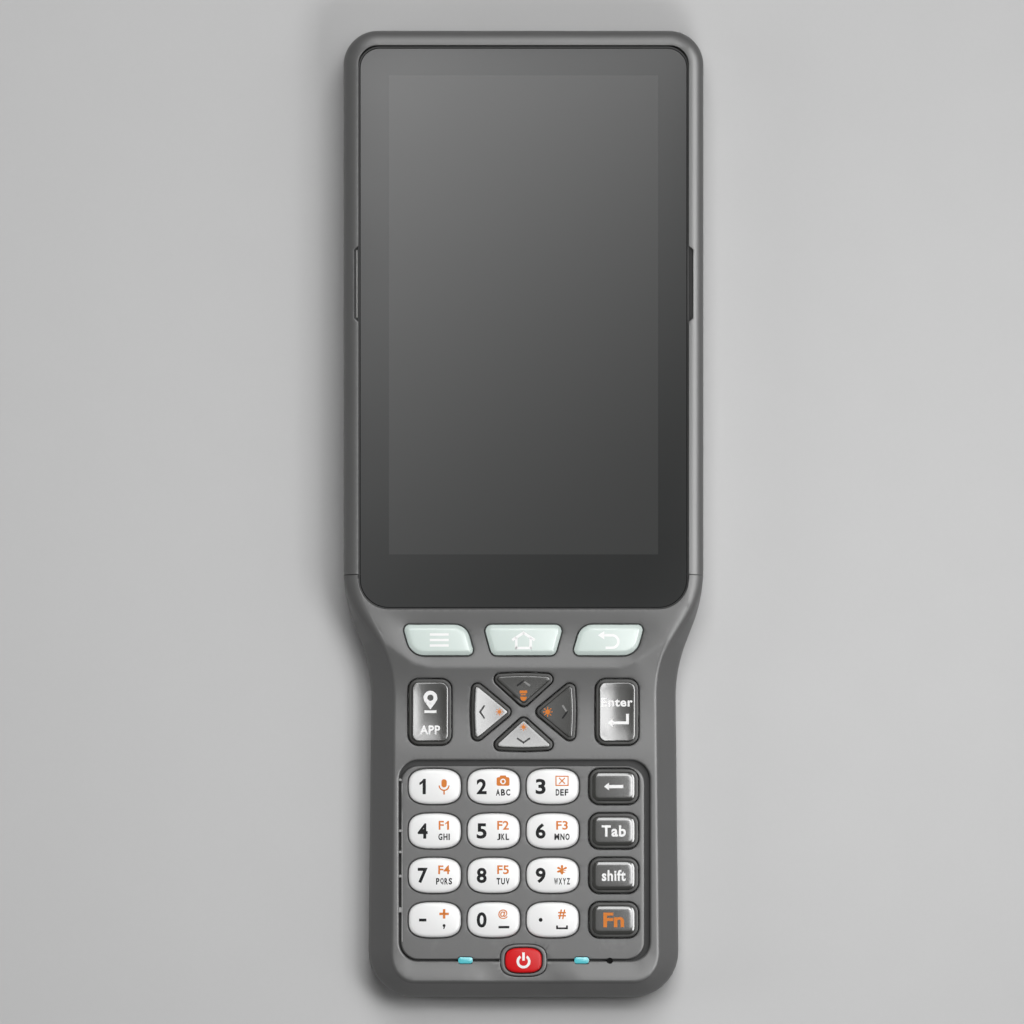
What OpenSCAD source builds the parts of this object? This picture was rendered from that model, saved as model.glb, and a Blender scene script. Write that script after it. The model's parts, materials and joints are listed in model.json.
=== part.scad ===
// Survey data collector lying on its back: display at the +Y end, keypad grip at the -Y end.
// Millimetres. Z = 0 is the back and +Z faces the user.

/* [Display] */
// width of the display panel
panel_w = 66.4; // [60:0.1:72]
// length of the display panel
panel_l = 120.6; // [108:0.1:134]
// thickness of the display panel
panel_t = 3.8; // [3.4:0.1:4.2]
// free space round the display panel
panel_gap = 1; // [0.8:0.1:1.4]
// width of the glued ledge at the sides of the glass
ledge_side = 3.7; // [3.4:0.1:5]
// width of the glued ledge at the top of the glass
ledge_top = 2.8; // [2.6:0.1:4]
// width of the glued ledge at the grip end of the glass
ledge_low = 4.2; // [3.6:0.1:5]
// thickness of the cover glass
glass_t = 1.3; // [1:0.1:1.6]
// corner radius of the glass at the top
glass_r_top = 4.6; // [3:0.1:6]
// corner radius of the glass at the grip end
glass_r_low = 6.7; // [4:0.1:8]
// gap between glass and frame
glass_gap = 0.35; // [0.3:0.05:0.5]
// depth of the glass below the front of the frame
glass_sunk = 0.6; // [0.4:0.1:0.9]
// thickness of the glass adhesive
adhesive_t = 0.3; // [0.2:0.05:0.5]
// thickness of the chassis plate behind the panel
plate_t = 0.8; // [0.6:0.1:1]

/* [Display frame] */
// width of the frame at the sides
rim_side = 3.75; // [3.2:0.05:4.2]
// width of the frame at the top
rim_top = 4; // [3.4:0.05:4.6]
// rounding of the front edge of the frame
rim_round = 3.2; // [2.4:0.1:3.4]
// outer corner radius at the top
corner_top = 7.9; // [7:0.1:10]
// height of the frame's seam above the lower end of the glass
seam_up = 7.5; // [7:0.1:9]
// open seam between frame and front housing
seam_gap = 0.2; // [0.1:0.05:0.3]
// length of the notch in each leg of the frame
notch_l = 17.6; // [12:0.1:22]
// depth of the notch into the leg
notch_d = 1; // [0.6:0.05:1.4]

/* [Function keys] */
// distance from the glass down to the function keys
soft_gap = 3.9; // [3.4:0.1:5]
// height of the function keys
soft_h = 7.1; // [6.4:0.1:8]
// width of the middle function key at its top
soft_mid_w = 18.6; // [16:0.1:20]
// width of the outer function keys
soft_side_w = 14.7; // [13:0.1:16]
// gap between neighbouring function keys
soft_space = 4; // [3.5:0.1:5]
// how far the slanted key edges lean over the height of the key
soft_lean = 2; // [1.2:0.1:2.4]
// radius of the two swept corners of the outer function keys
soft_sweep_r = 4; // [2.5:0.1:4.3]
// radius of their two tight corners
soft_tip_r = 1.25; // [1:0.05:1.4]
// distance from the function keys down to the edge of the raised pad
pad_low = 2.8; // [2.6:0.1:3.6]
// half width of the raised pad's lower edge
pad_foot = 25.8; // [24:0.1:27]
// half width of the raised pad at its knees
pad_knee = 33.2; // [31:0.1:34]
// height of the raised pad over the grip face
pad_rise = 0.8; // [0.5:0.1:1.2]

/* [Arrow keys] */
// distance from the raised pad down to the middle of the arrow keys
arrow_above = 10.3; // [10:0.1:12]
// distance from the middle of the arrow keys down to the inlay
arrow_below = 11.2; // [10.9:0.1:13]
// distance from the middle out to the base of the up and down keys
arrow_v_out = 9.2; // [8.6:0.1:9.5]
// distance from the middle out to the base of the left and right keys
arrow_h_out = 12.3; // [11.5:0.05:13]
// how far the base of an arrow key bows out
arrow_bow = 0.45; // [0.25:0.05:0.6]
// corner radius of the arrow keys
arrow_r = 1.35; // [1.1:0.05:1.6]
// slope of the arrow keys down to the middle of the pad, rise over run
arrow_slope = 0.1; // [0.06:0.01:0.1]
// depth of the dish in the tall keys
dish_deep = 0.5; // [0.3:0.05:0.6]
// radius of the dish in the tall keys
dish_r = 42; // [30:1:50]
// width of the tall keys beside the arrows
tall_w = 9.95; // [9:0.05:11]
// height of the tall keys beside the arrows
tall_h = 15.3; // [13.5:0.1:16.5]
// distance of the tall keys from the middle
tall_x = 21.65; // [21:0.05:22]

/* [Number keys] */
// width of a number key
key_w = 12.1; // [11:0.05:12.4]
// height of a number key
key_h = 8.15; // [7.4:0.05:8.8]
// gap between number key columns
key_gap_x = 1.55; // [1.4:0.05:2]
// gap between key rows
key_gap_y = 2.14; // [1.6:0.02:2.8]
// width of a dark key
dark_w = 11.4; // [10.4:0.05:12]
// height of a dark key
dark_h = 8.2; // [7.4:0.05:8.8]
// gap between the number keys and the dark keys
dark_gap = 2.37; // [1.8:0.01:3]
// corner radius of the dark and tall keys
dark_r = 2.4; // [1.8:0.1:3]
// width of the power key
power_w = 8.5; // [7.6:0.1:9]
// height of the power key
power_h = 5.8; // [5:0.1:6.2]

/* [Key movement] */
// travel of every key on the front
key_travel = 0.8; // [0.5:0.05:1]
// gap between a key and its hole
key_gap = 0.25; // [0.2:0.05:0.35]
// width of the hidden flange round each key
flange_over = 0.55; // [0.4:0.05:0.6]
// thickness of the hidden flange
flange_t = 0.7; // [0.6:0.05:0.9]
// height of a key over the face round it
key_rise = 1.15; // [1:0.05:1.5]

/* [Inlay] */
// inlay margin left of the keys
inlay_left = 1.85; // [1.5:0.05:2.4]
// inlay margin right of the keys
inlay_right = 1.4; // [1.2:0.05:2]
// inlay margin over the keys
inlay_top = 0.7; // [0.5:0.05:1.5]
// inlay margin under the keys
inlay_low = 5.1; // [4.9:0.1:6]
// narrow gap round the inlay, at its left and lower edges
inlay_near = 0.4; // [0.3:0.05:0.6]
// wide gap round the inlay, at its top and right edges
inlay_far = 1.3; // [0.9:0.05:1.5]
// corner radius of the inlay
inlay_r = 4.1; // [3:0.1:5]
// thickness of the inlay
inlay_t = 1.2; // [0.9:0.1:1.5]
// depth of the inlay below the grip face
inlay_sunk = 0.4; // [0.2:0.05:0.6]

/* [Grip] */
// flat border between the inlay and the side ridge
face_side = 0.9; // [0.7:0.1:1.8]
// flat border between the inlay and the lower ridge
face_low = 4.2; // [4:0.1:5.5]
// width of the sloping facet at the sides
ridge_side = 5.1; // [4.8:0.1:6]
// width of the sloping facet at the lower end
ridge_low = 4.25; // [4:0.05:5]
// outer corner radius at the lower end
corner_low = 10.65; // [10:0.05:12]
// bend radius of the waist
waist_r = 34.7; // [30:0.1:38]
// steepest lean of the waist
waist_lean = 21; // [20:0.5:23]
// outward lean of the grip's sides towards the lower end
grip_lean = 0.6; // [0.3:0.1:1]

/* [Shell] */
// height of the split between rear and front housing
split_z = 9; // [8.6:0.1:9.4]
// wall thickness at the sides
wall = 2.6; // [2.4:0.1:3]
// thickness of the back wall
back_wall = 2.2; // [2:0.1:2.6]
// rounding of the back edges
rear_round = 3.4; // [2.8:0.1:3.8]
// thickness of the tray under the display
tray_t = 1.4; // [1.2:0.1:1.8]
// thickness of the floor under the inlay
pocket_floor = 1.2; // [1:0.1:1.6]
// width of the housing gasket
gasket_w = 0.7; // [0.6:0.05:0.8]
// height of the housing gasket
gasket_h = 0.8; // [0.6:0.05:0.9]
// shank radius of the housing screws
screw_r = 1.25; // [1:0.05:1.4]
// head radius of the housing screws
screw_head_r = 2.1; // [1.9:0.05:2.3]
// radius of the housing screw bosses
boss_r = 2.6; // [2.4:0.05:2.8]

/* [Boards and battery] */
// thickness of the battery pack
battery_t = 9; // [8.6:0.1:9.6]
// length of the battery pack
battery_l = 62; // [50:1:66]
// thickness of the circuit boards
board_t = 1.2; // [1:0.1:1.4]
// length of the main board
board_l = 98; // [92:1:100]
// gap between main board and tray
board_lift = 1.2; // [1:0.1:1.6]
// thickness of a dome switch
dome_t = 0.35; // [0.3:0.05:0.4]
// radius of a dome switch
dome_r = 2.4; // [2:0.1:2.6]
// thickness of the keypad membrane
membrane_t = 0.9; // [0.7:0.1:1.1]
// shank radius of the board screws
board_screw_r = 0.8; // [0.7:0.05:0.9]
// height of a shield can
can_h = 1.8; // [1.4:0.1:2.2]
// side of the satellite antenna
antenna_w = 25; // [20:0.5:25]
// thickness of the satellite antenna
antenna_t = 4; // [3:0.1:4.4]

/* [Camera and speaker] */
// radius of the camera window
window_r = 5; // [4.6:0.1:5.4]
// thickness of the rear windows
window_t = 1; // [0.8:0.1:1.2]
// radius of the flash window
flash_r = 2.4; // [2:0.1:2.8]
// length of the speaker
speaker_l = 15; // [12:0.5:16]
// width of the speaker
speaker_w = 11; // [9:0.5:12]

/* [Covers] */
// length of the charging port cover
port_cover_l = 16; // [14:0.5:20]
// length of the card cover
card_cover_l = 18; // [16:0.5:22]
// radius of the hinge barrel on a cover
barrel_r = 1.1; // [1:0.05:1.15]
// radius of a hinge pin
pin_r = 0.5; // [0.4:0.05:0.6]
// height of the hinge pins
hinge_z = 6.2; // [6:0.05:6.3]
// depth of the recess behind a cover
cover_depth = 2.8; // [2.7:0.05:3.1]
// width of the charging socket
usb_w = 8.9; // [8.5:0.1:9.4]
// height of the charging socket
usb_h = 3.2; // [3:0.05:3.3]

/* [Side keys] */
// length of a side key
side_key_l = 16; // [12:0.5:18]
// height of a side key
side_key_h = 2.2; // [1.8:0.1:2.4]
// travel of a side key
side_travel = 0.5; // [0.3:0.05:0.5]

/* [Places inside] */
// distance of the upper housing screws from the side
screw_in = 8.15; // [7.6:0.05:8.6]
// distance of the first housing screws from the top
screw_top = 16; // [15:0.5:20]
// distance of the second housing screws from the top
screw_mid = 82; // [76:0.5:84]
// distance of the grip's housing screws from its side
grip_screw_in = 5.6; // [5.4:0.05:5.8]
// distance of the grip's housing screws below the middle of the arrow keys
grip_screw_low = 4.2; // [2:0.1:6]
// distance of the main board from the top
board_top = 11.9; // [11:0.1:13]
// distance of the main board's screws from its side
board_screw_in = 4.2; // [3.8:0.1:5]
// distance of the main board's upper screws from its top edge
board_screw_top = 8; // [7:0.5:9]
// distance of the main board's lower screws from its lower edge
board_screw_low = 24; // [22:0.5:26]
// distance of the battery pack from the lower end
battery_low = 18; // [17.5:0.5:20]
// distance of the camera from the middle
camera_x = 18; // [17.6:0.2:20]
// distance of the camera and the speaker from the top
camera_top = 28; // [26:0.5:32]
// distance of the flash window below the camera
flash_low = 12; // [9:0.5:14]
// distance of the speaker from the middle
speaker_x = 20; // [18:0.5:22]
// distance of the satellite antenna from the top
antenna_top = 26; // [25:0.5:28]
// distance of the side keys from the top
side_top = 58.6; // [50:0.1:66]
// distance between the strap holes
strap_spacing = 50; // [40:1:56]
// distance of the middle of the strap holes from the top
strap_top = 86; // [84:0.5:90]
// radius of the strap holes
strap_hole_r = 1.6; // [1.3:0.05:1.8]
// width of the large shield can
can_w = 30; // [26:0.5:31]
// length of the large shield can
can_l = 26; // [22:0.5:28]
// side of the small shield can
can_small = 24; // [20:0.5:25]
// distance of the large shield can from the main board's top edge
can_top = 31; // [30:0.5:33]
// gap between the shield cans
can_gap = 7; // [5:0.5:9]
// width of the card socket
card_socket_w = 16; // [14:0.5:17]
// depth of the card socket
card_socket_l = 15.8; // [14:0.2:16]
// length of the charging socket
usb_l = 7.4; // [7:0.1:8]
// width of the charging board
usb_board_w = 24; // [22:0.5:26]
// length of the charging board
usb_board_l = 9.5; // [8.5:0.1:10]
// half distance between the charging board's posts
usb_post_x = 9.3; // [8.5:0.1:10]
// length of the charging board behind its socket
usb_board_lap = 4.4; // [4:0.1:5]
// space between the card cover and the card socket
card_step = 3.2; // [3:0.1:3.6]
// width of the card slot
card_slot_w = 11.8; // [11.2:0.1:12.4]
// height of the card slot
card_slot_h = 1.1; // [0.9:0.05:1.2]
// height of the card slot over the card socket's underside
card_slot_up = 0.6; // [0.5:0.05:0.8]
// thickness of the card socket's end wall
card_end_t = 3; // [2.5:0.1:4]
// length of the cover pins beyond the covers
pin_over = 3.2; // [2.8:0.1:3.6]
// width of the side key switches
switch_w = 2.6; // [2.2:0.1:3]
// length of the side key switches
switch_l = 10; // [8:0.5:12]
// height of the side key switches over the middle of the side keys
switch_up = 1.2; // [1:0.1:1.5]

/* [Pad outline] */
// distance of the raised pad's knees below the glass
knee_low = 7.4; // [6.5:0.1:8.5]
// height of the raised pad's shoulders over the lower end of the glass
shoulder_up = 4.4; // [3.5:0.1:5]
// rise of the raised pad's lower edge at its ends
foot_up = 1.1; // [0.6:0.1:1.6]
// run of the raised pad's lower edge at its ends
foot_run = 4; // [2:0.1:5]

/* [Hidden] */
$fn = 48;
running_gap = 0.05;
half_gap = 0.1;
dome_gap = 0.05;

// places along the length, counted from the top edge down
keys_h = 4 * key_h + 3 * key_gap_y;
glass_l = panel_l + 2 * panel_gap + ledge_top + ledge_low;
glass_w = panel_w + 2 * (panel_gap + ledge_side);
body_l = rim_top + glass_l + soft_gap + soft_h + pad_low + arrow_above + arrow_below + inlay_far + inlay_top
  + keys_h + inlay_low + inlay_near + face_low + ridge_low;
top_y = body_l / 2;
low_y = -body_l / 2;
glass_y1 = top_y - rim_top;
glass_y0 = glass_y1 - glass_l;
panel_y1 = glass_y1 - ledge_top - panel_gap;
panel_y0 = panel_y1 - panel_l;
seam_y = glass_y0 + seam_up;
soft_y1 = glass_y0 - soft_gap;
soft_y0 = soft_y1 - soft_h;
pad_y = soft_y0 - pad_low;
arrow_y = pad_y - arrow_above;
pocket_y1 = arrow_y - arrow_below;
inlay_y1 = pocket_y1 - inlay_far;
row_y = inlay_y1 - inlay_top - key_h / 2;
row_pitch = key_h + key_gap_y;
inlay_y0 = inlay_y1 - inlay_top - keys_h - inlay_low;
pocket_y0 = inlay_y0 - inlay_near;
power_y = inlay_y0 - 0.2;

// places across the width
field_w = 3 * key_w + 2 * key_gap_x + dark_gap + dark_w;
column_x = -field_w / 2 + key_w / 2;
column_pitch = key_w + key_gap_x;
dark_x = field_w / 2 - dark_w / 2;
inlay_x0 = -field_w / 2 - inlay_left;
inlay_x1 = field_w / 2 + inlay_right;
half_w = glass_w / 2 + rim_side;
grip_half = inlay_x1 + inlay_far + face_side + ridge_side;
light_x = 13.45;
mic_x = 20;

// heights from the back up to the front
battery_z = back_wall;
head_h = 0.8;
board_z = battery_z + battery_t + 0.25 + head_h;
dome_z = board_z + board_t;
membrane_z = dome_z + dome_t + dome_gap;
flange_z = membrane_z + membrane_t + key_travel + dome_gap;
ceiling_z = flange_z + flange_t + half_gap;
inlay_z = ceiling_z + pocket_floor;
face_z = inlay_z + inlay_t + inlay_sunk;
front_z = face_z + pad_rise;
glass_z = front_z - glass_sunk - glass_t;
ledge_z = glass_z - adhesive_t;
panel_z = glass_z - panel_t;
tray_z1 = panel_z - half_gap - plate_t;
tray_z0 = tray_z1 - tray_t;
shoulder_z = tray_z0 + 1;
main_z1 = tray_z0 - board_lift;
main_z0 = main_z1 - board_t;
step_z = split_z + 3.6;

// outline of the body: right side from the top down, then the left side back up
waist_in = half_w - grip_half;
waist_run = (waist_in - 2 * waist_r * (1 - cos(waist_lean))) / sin(waist_lean);
waist_c0 = [half_w - waist_r, seam_y + 1.3];
waist_p = waist_c0 + waist_r * [cos(waist_lean), -sin(waist_lean)]
  - max(waist_run, 0.2) * [sin(waist_lean), cos(waist_lean)];
waist_c1 = waist_p + waist_r * [cos(waist_lean), -sin(waist_lean)];
grip_p = waist_c1 - waist_r * [cos(grip_lean), sin(grip_lean)];
grip_run = (grip_p[1] - low_y - corner_low * (1 + sin(grip_lean))) / cos(grip_lean);
grip_end = grip_p + grip_run * [sin(grip_lean), -cos(grip_lean)];
low_c = grip_end - corner_low * [cos(grip_lean), sin(grip_lean)];
right_side = concat(
  arc([half_w - corner_top, top_y - corner_top], corner_top, 90, 0, 8),
  arc(waist_c0, waist_r, 0, -waist_lean, 6),
  arc(waist_c1, -waist_r, -waist_lean, grip_lean, 8),
  [for (i = [1:4]) [grip_p + (grip_end - grip_p) * i / 5, [cos(grip_lean), sin(grip_lean)]]],
  arc(low_c, corner_low, grip_lean, -90, 9)
);
contour = concat(
  right_side,
  [for (i = [len(right_side) - 1:-1:0]) [flip(right_side[i][0]), flip(right_side[i][1])]]
);

function flip(p) = [-p[0], p[1]];
function unit(v) = v / norm(v);
function arc(c, r, a0, a1, n) =
  [for (i = [0:n]) let (a = a0 + (a1 - a0) * i / n) [c + r * [cos(a), sin(a)], [cos(a), sin(a)]]];
function inset(d) = [for (q = contour) q[0] - d * q[1]];
function rect(x0, x1, y0, y1) = [[x0, y0], [x1, y0], [x1, y1], [x0, y1]];
function shifted(pts, v) = [for (p = pts) p + v];
function turned(pts, a) = [for (p = pts) [p[0] * cos(a) - p[1] * sin(a), p[0] * sin(a) + p[1] * cos(a)]];
function edge_out(p, q) = unit([q[1] - p[1], p[0] - q[0]]);
// a convex outline with every edge moved out by d
function grown(pts, d) = let (n = len(pts)) [for (i = [0:n - 1]) let (
  a = edge_out(pts[(i + n - 1) % n], pts[i]),
  b = edge_out(pts[i], pts[(i + 1) % n])
) pts[i] + (a + b) * d / (1 + a * b)];
// one rounded corner at b between a and c
function corner(a, b, c, r) = let (
  u = unit(a - b),
  v = unit(c - b),
  half = acos(u * v) / 2,
  mid = b + unit(u + v) * r / sin(half),
  from = b + u * r / tan(half) - mid,
  to = b + v * r / tan(half) - mid,
  a0 = atan2(from[1], from[0]),
  turn = atan2(to[1], to[0]) - a0,
  sweep = turn > 180 ? turn - 360 : turn < -180 ? turn + 360 : turn
) [for (i = [0:6]) mid + r * [cos(a0 + sweep * i / 6), sin(a0 + sweep * i / 6)]];
function rounded(pts, radii) = let (n = len(pts)) [for (i = [0:n - 1])
  each corner(pts[(i + n - 1) % n], pts[i], pts[(i + 1) % n], radii[i])];
function even(r, n) = [for (i = [1:n]) r];
function round_rect(x0, x1, y0, y1, r) = rounded(rect(x0, x1, y0, y1), even(r, 4));
function power_sign(v, e) = sign(v) * pow(abs(v), e);
function pillow(a, b) =
  [for (i = [0:39]) [a * power_sign(cos(9 * i), 2 / 3), b * power_sign(sin(9 * i), 2 / 3)]];
function mix(a, b, t) = a + (b - a) * t;
function ease(t) = let (u = min(max(t, 0), 1)) u * u * (3 - 2 * u);

// outer surface of the front: a round bead at the display, a sloping facet at the grip
slope_z = split_z + 2.2;
bead = concat(
  [[0, split_z], [0, slope_z], [0, front_z - rim_round]],
  [for (a = [18:18:90]) rim_round * [1 - cos(a), sin(a) - 1] + [0, front_z]]
);
// facet profile as shares of its width and height, with a rounded ridge at its inner end
facet_steps = [[0, 0], [0.36, 0.43], [0.62, 0.73], [0.76, 0.87], [0.9, 0.96], [1.08, 1.0]];
function facet(k, s) = k == 0 ? [0, split_z] : k == 7 ? [1.1 * s, front_z] : let (t = facet_steps[k - 1])
  [0.3 + t[0] * (s - 0.3), mix(slope_z, face_z - 0.06, t[1])];
function front_point(k, q) = let (
  s = mix(ridge_side, ridge_low, q[1][1] * q[1][1]),
  p = mix(bead[k], facet(k, s), ease((seam_y - q[0][1]) / 48))
) [q[0][0] - p[0] * q[1][0], q[0][1] - p[0] * q[1][1], p[1]];
rear_edge = concat(
  [for (a = [90:-22.5:0]) rear_round * [1 - cos(a), 1 - sin(a)]],
  [[0, split_z]]
);

// outlines seen from the front
function glass_outline(d) = rounded(
  rect(-glass_w / 2 - d, glass_w / 2 + d, glass_y0 - d, glass_y1 + d),
  [glass_r_low + d, glass_r_low + d, glass_r_top + d, glass_r_top + d]
);
function panel_outline(d) = round_rect(-panel_w / 2 - d, panel_w / 2 + d, panel_y0 - d, panel_y1 + d, 1.2);
inlay_outline = round_rect(inlay_x0, inlay_x1, inlay_y0, inlay_y1, inlay_r);
pocket_outline = round_rect(inlay_x0 - inlay_near, inlay_x1 + inlay_far, pocket_y0, pocket_y1, inlay_r + 0.4);
knee_y = glass_y0 - knee_low;
pad_side = [
  [body_l, seam_y - 1], [glass_w / 2, glass_y0 + shoulder_up], [pad_knee, knee_y],
  [pad_foot, pad_y + foot_up], [pad_foot - foot_run, pad_y]
];
lowered_outline = concat(
  pad_side,
  [for (i = [len(pad_side) - 1:-1:0]) [-pad_side[i][0], pad_side[i][1]]],
  [[-body_l, -body_l], [body_l, -body_l]]
);

// every key on the front: name, kind, place, turn
soft_x = soft_mid_w / 2 + soft_space + soft_side_w / 2;
number_names = ["key_1", "key_2", "key_3", "key_4", "key_5", "key_6", "key_7", "key_8", "key_9"];
bottom_names = ["key_minus", "key_0", "key_dot"];
dark_names = ["key_backspace", "key_tab", "key_shift", "key_fn"];
arrow_names = ["key_right", "key_up", "key_left", "key_down"];
grid_names = concat(number_names, bottom_names);
keys = concat(
  [for (i = [0:11])
    [grid_names[i], "number", [column_x + column_pitch * (i % 3), row_y - row_pitch * floor(i / 3)], 0]],
  [for (i = [0:3]) [dark_names[i], "dark", [dark_x, row_y - row_pitch * i], 0]],
  [for (i = [0:3]) [arrow_names[i], "arrow", [0, arrow_y], 90 * i]],
  [["key_app", "tall", [-tall_x, arrow_y], 0], ["key_enter", "tall", [tall_x, arrow_y], 0]],
  [["key_menu", "soft", [-soft_x, soft_y0], 1], ["key_home", "soft", [0, soft_y0], 0]],
  [["key_back", "soft", [soft_x, soft_y0], -1], ["key_power", "power", [0, power_y], 0]]
);

function bowed(tip, out, half) = [[tip, 0], [out - arrow_bow, -half], [out, 0], [out - arrow_bow, half]];
function arrow_points(turn) = turn % 180 == 0
  ? turned(bowed(2.2, arrow_h_out, 8), turn)
  : turned(bowed(0.85, arrow_v_out, 8.75), turn);
arrow_radii = [arrow_r, arrow_r, 24 / arrow_bow, arrow_r];
function soft_points(side) = let (w = side == 0 ? soft_mid_w : soft_side_w, d = soft_lean) side == 0
  ? [[d - w / 2, 0], [w / 2 - d, 0], [w / 2, soft_h], [-w / 2, soft_h]]
  : [[side * d - w / 2, 0], [side * d + w / 2, 0], [w / 2, soft_h], [-w / 2, soft_h]];
function soft_radii(side) = let (a = soft_sweep_r, b = soft_tip_r) side > 0 ? [a, b, a - 0.4, b]
  : side < 0 ? [b, a, b, a - 0.4] : even(1.5, 4);
function box_points(w, h) = rect(-w / 2, w / 2, -h / 2, h / 2);
function local_outline(k, d) =
  k[1] == "number" ? pillow(key_w / 2 + d, key_h / 2 + d)
  : k[1] == "power" ? pillow(power_w / 2 + d, power_h / 2 + d)
  : k[1] == "dark" ? rounded(grown(box_points(dark_w, dark_h), d), even(dark_r + d, 4))
  : k[1] == "tall" ? rounded(grown(box_points(tall_w, tall_h), d), even(dark_r + d, 4))
  : k[1] == "arrow" ? rounded(grown(arrow_points(k[3]), d), arrow_radii + even(d, 4))
  : rounded(grown(soft_points(k[3]), d), soft_radii(k[3]) + even(d, 4));
function key_outline(k, d) = shifted(local_outline(k, d), k[2]);
function key_middle(k) = k[2] + (
  k[1] == "soft" ? [k[3] * soft_lean / 2, soft_h / 2]
  : k[1] == "arrow" ? (k[3] % 180 == 0 ? 0.7 * arrow_h_out : 0.68 * arrow_v_out) * [cos(k[3]), sin(k[3])]
  : [0, 0]);
function face_at(k) = k[1] == "soft" ? front_z : face_z;
function in_inlay(k) = k[1] == "number" || k[1] == "dark";
skirt = 0.75;
skirt_drop = 0.65;
arrow_drop = 0.95;
cap_drop = 0.05;

// screws, bosses and posts
screw_x = half_w - screw_in;
grip_screw_x = grip_half - grip_screw_in;
screw_spots = [for (s = [-1, 1], p = [
  [screw_x, top_y - screw_top, tray_z0], [screw_x, top_y - screw_mid, tray_z0],
  [grip_screw_x, arrow_y - grip_screw_low, step_z + 0.6],
  [low_c[0] + 4.8, low_y + corner_low - 0.9, step_z + 0.6]
]) [s * p[0], p[1], p[2]]];
screw_tip = min(tray_z0 + 0.6, step_z);
screw_seat = back_wall - 0.2;
board_boss_r = 1.5;
board_boss_x = dark_x - dark_w / 2 - dark_gap / 2;
board_spots = [for (s = [-1, 1], p = [
  [board_boss_x, pad_y - 0.4], [board_boss_x, pocket_y1 + 0.55],
  [board_boss_x + 10, row_y - 3.5 * row_pitch - 1.9]
]) [s * p[0], p[1]]];
main_half = screw_x - boss_r - 0.4;
main_y1 = top_y - board_top;
main_y0 = main_y1 - board_l;
main_spots = [for (s = [-1, 1], y = [main_y1 - board_screw_top, main_y0 + board_screw_low])
  [s * (main_half - board_screw_in), y]];
keypad_half = grip_half - 7;
keypad_y1 = glass_y0 - 1.9;
keypad_y0 = low_y + 6.4;
keypad_outline = round_rect(-keypad_half, keypad_half, keypad_y0, keypad_y1, 4);
battery_half = grip_screw_x - boss_r - 0.6;
battery_y0 = low_y + battery_low;
camera_at = [camera_x, top_y - camera_top];
flash_at = [camera_x, top_y - camera_top - flash_low];
speaker_at = [-speaker_x, top_y - camera_top];
antenna_y = top_y - antenna_top;
strap_y = [for (s = [1, -1]) top_y - strap_top + s * strap_spacing / 2];
side_y = top_y - side_top;
side_z = mix(shoulder_z, front_z - rim_round, 0.6);
card_y = main_y0 + card_socket_w / 2;
card_in = cover_depth + card_step;
hinge_in = 1.4;
card_z = 4.2;
cover_z = 1.9;
usb_z = 3.85;
usb_y = low_y + cover_depth + 0.4;
usb_board_z = usb_z + usb_h / 2;
usb_board_y = usb_y + usb_l - usb_board_lap;
usb_board_t = 1;

// which node to draw, or all of them

module loft(rings) {
  n = len(rings[0]);
  m = n / 2;
  e = (len(rings) - 1) * n;
  polyhedron(
    points = [for (r = rings) each r],
    faces = concat(
      [for (k = [0:len(rings) - 2], i = [0:n - 1])
        [k * n + i, k * n + (i + 1) % n, (k + 1) * n + (i + 1) % n]],
      [for (k = [0:len(rings) - 2], i = [0:n - 1]) [k * n + i, (k + 1) * n + (i + 1) % n, (k + 1) * n + i]],
      [for (i = [0:m - 2]) [e + i, e + i + 1, e + n - 2 - i, e + n - 1 - i]],
      [for (i = [0:m - 2]) [n - 1 - i, n - 2 - i, i + 1, i]]
    )
  );
}

module front_body() {
  loft([for (k = [0:7]) [for (q = contour) front_point(k, q)]]);
}

module rear_body() {
  loft([for (p = rear_edge) [for (q = contour) [each q[0] - p[0] * q[1], p[1]]]]);
}

module slab(pts, z0, z1) {
  translate([0, 0, z0])
    linear_extrude(z1 - z0)
      polygon(pts);
}

module block(x0, x1, y0, y1, z0, z1) {
  translate([x0, y0, z0])
    cube([x1 - x0, y1 - y0, z1 - z0]);
}

module peg(p, r, z0, z1) {
  translate([p[0], p[1], z0])
    cylinder(r = r, h = z1 - z0);
}

// places a cover: the wall is at y = 0 and the inside of the housing at +y
module at_port() {
  translate([0, low_y, 0])
    children();
}

module at_card() {
  translate([-half_w, card_y, 0])
    rotate([0, 0, -90])
      children();
}

module hinge_rod(r, l) {
  translate([-l / 2, hinge_in, hinge_z])
    rotate([0, 90, 0])
      cylinder(r = r, h = l);
}

module cover_recess(l) {
  w = l / 2 + 0.2;
  block(-w, w, -3, cover_depth, cover_z - 0.25, hinge_z);
  block(-w, w, -3, hinge_in, hinge_z - 0.1, hinge_z + barrel_r + 0.3);
  hinge_rod(barrel_r + 0.2, 2 * w);
  hinge_rod(pin_r + running_gap, l + 3.6);
}

module cover_backing(l) {
  block(-l / 2 - 3, l / 2 + 3, 1.5, cover_depth + 3, back_wall - 0.5, hinge_z + 1.7);
}

module cover_blank(l) {
  block(-l / 2, l / 2, -3, cover_depth - 0.5, cover_z, hinge_z);
}

module cover_barrel(l, pad_l) {
  hinge_rod(barrel_r, l);
  block(-pad_l / 2, pad_l / 2, cover_depth - 0.6, cover_depth - 0.1, cover_z + 0.5, hinge_z - barrel_r);
}

module frame_zone() {
  difference() {
    block(-80, 80, seam_y, top_y + 10, shoulder_z, front_z + 5);
    slab(glass_outline(0), shoulder_z - 1, front_z + 6);
  }
}

module key_holes(d, inlay_only) {
  for (k = keys)
    if (!inlay_only || in_inlay(k))
      slab(key_outline(k, d), ceiling_z - 2, front_z + 3);
}

module collar_outline(d, z0, z1) {
  slab(shifted(pillow(5.35 + d, 3.75 + d), [0, power_y]), z0, z1);
}

module window_shape(s, d, z0, z1) {
  x = s * light_x;
  slab(round_rect(x - 1.7 - d, x + 1.7 + d, power_y - 0.75 - d, power_y + 0.75 + d, 0.6 + d), z0, z1);
}

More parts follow.
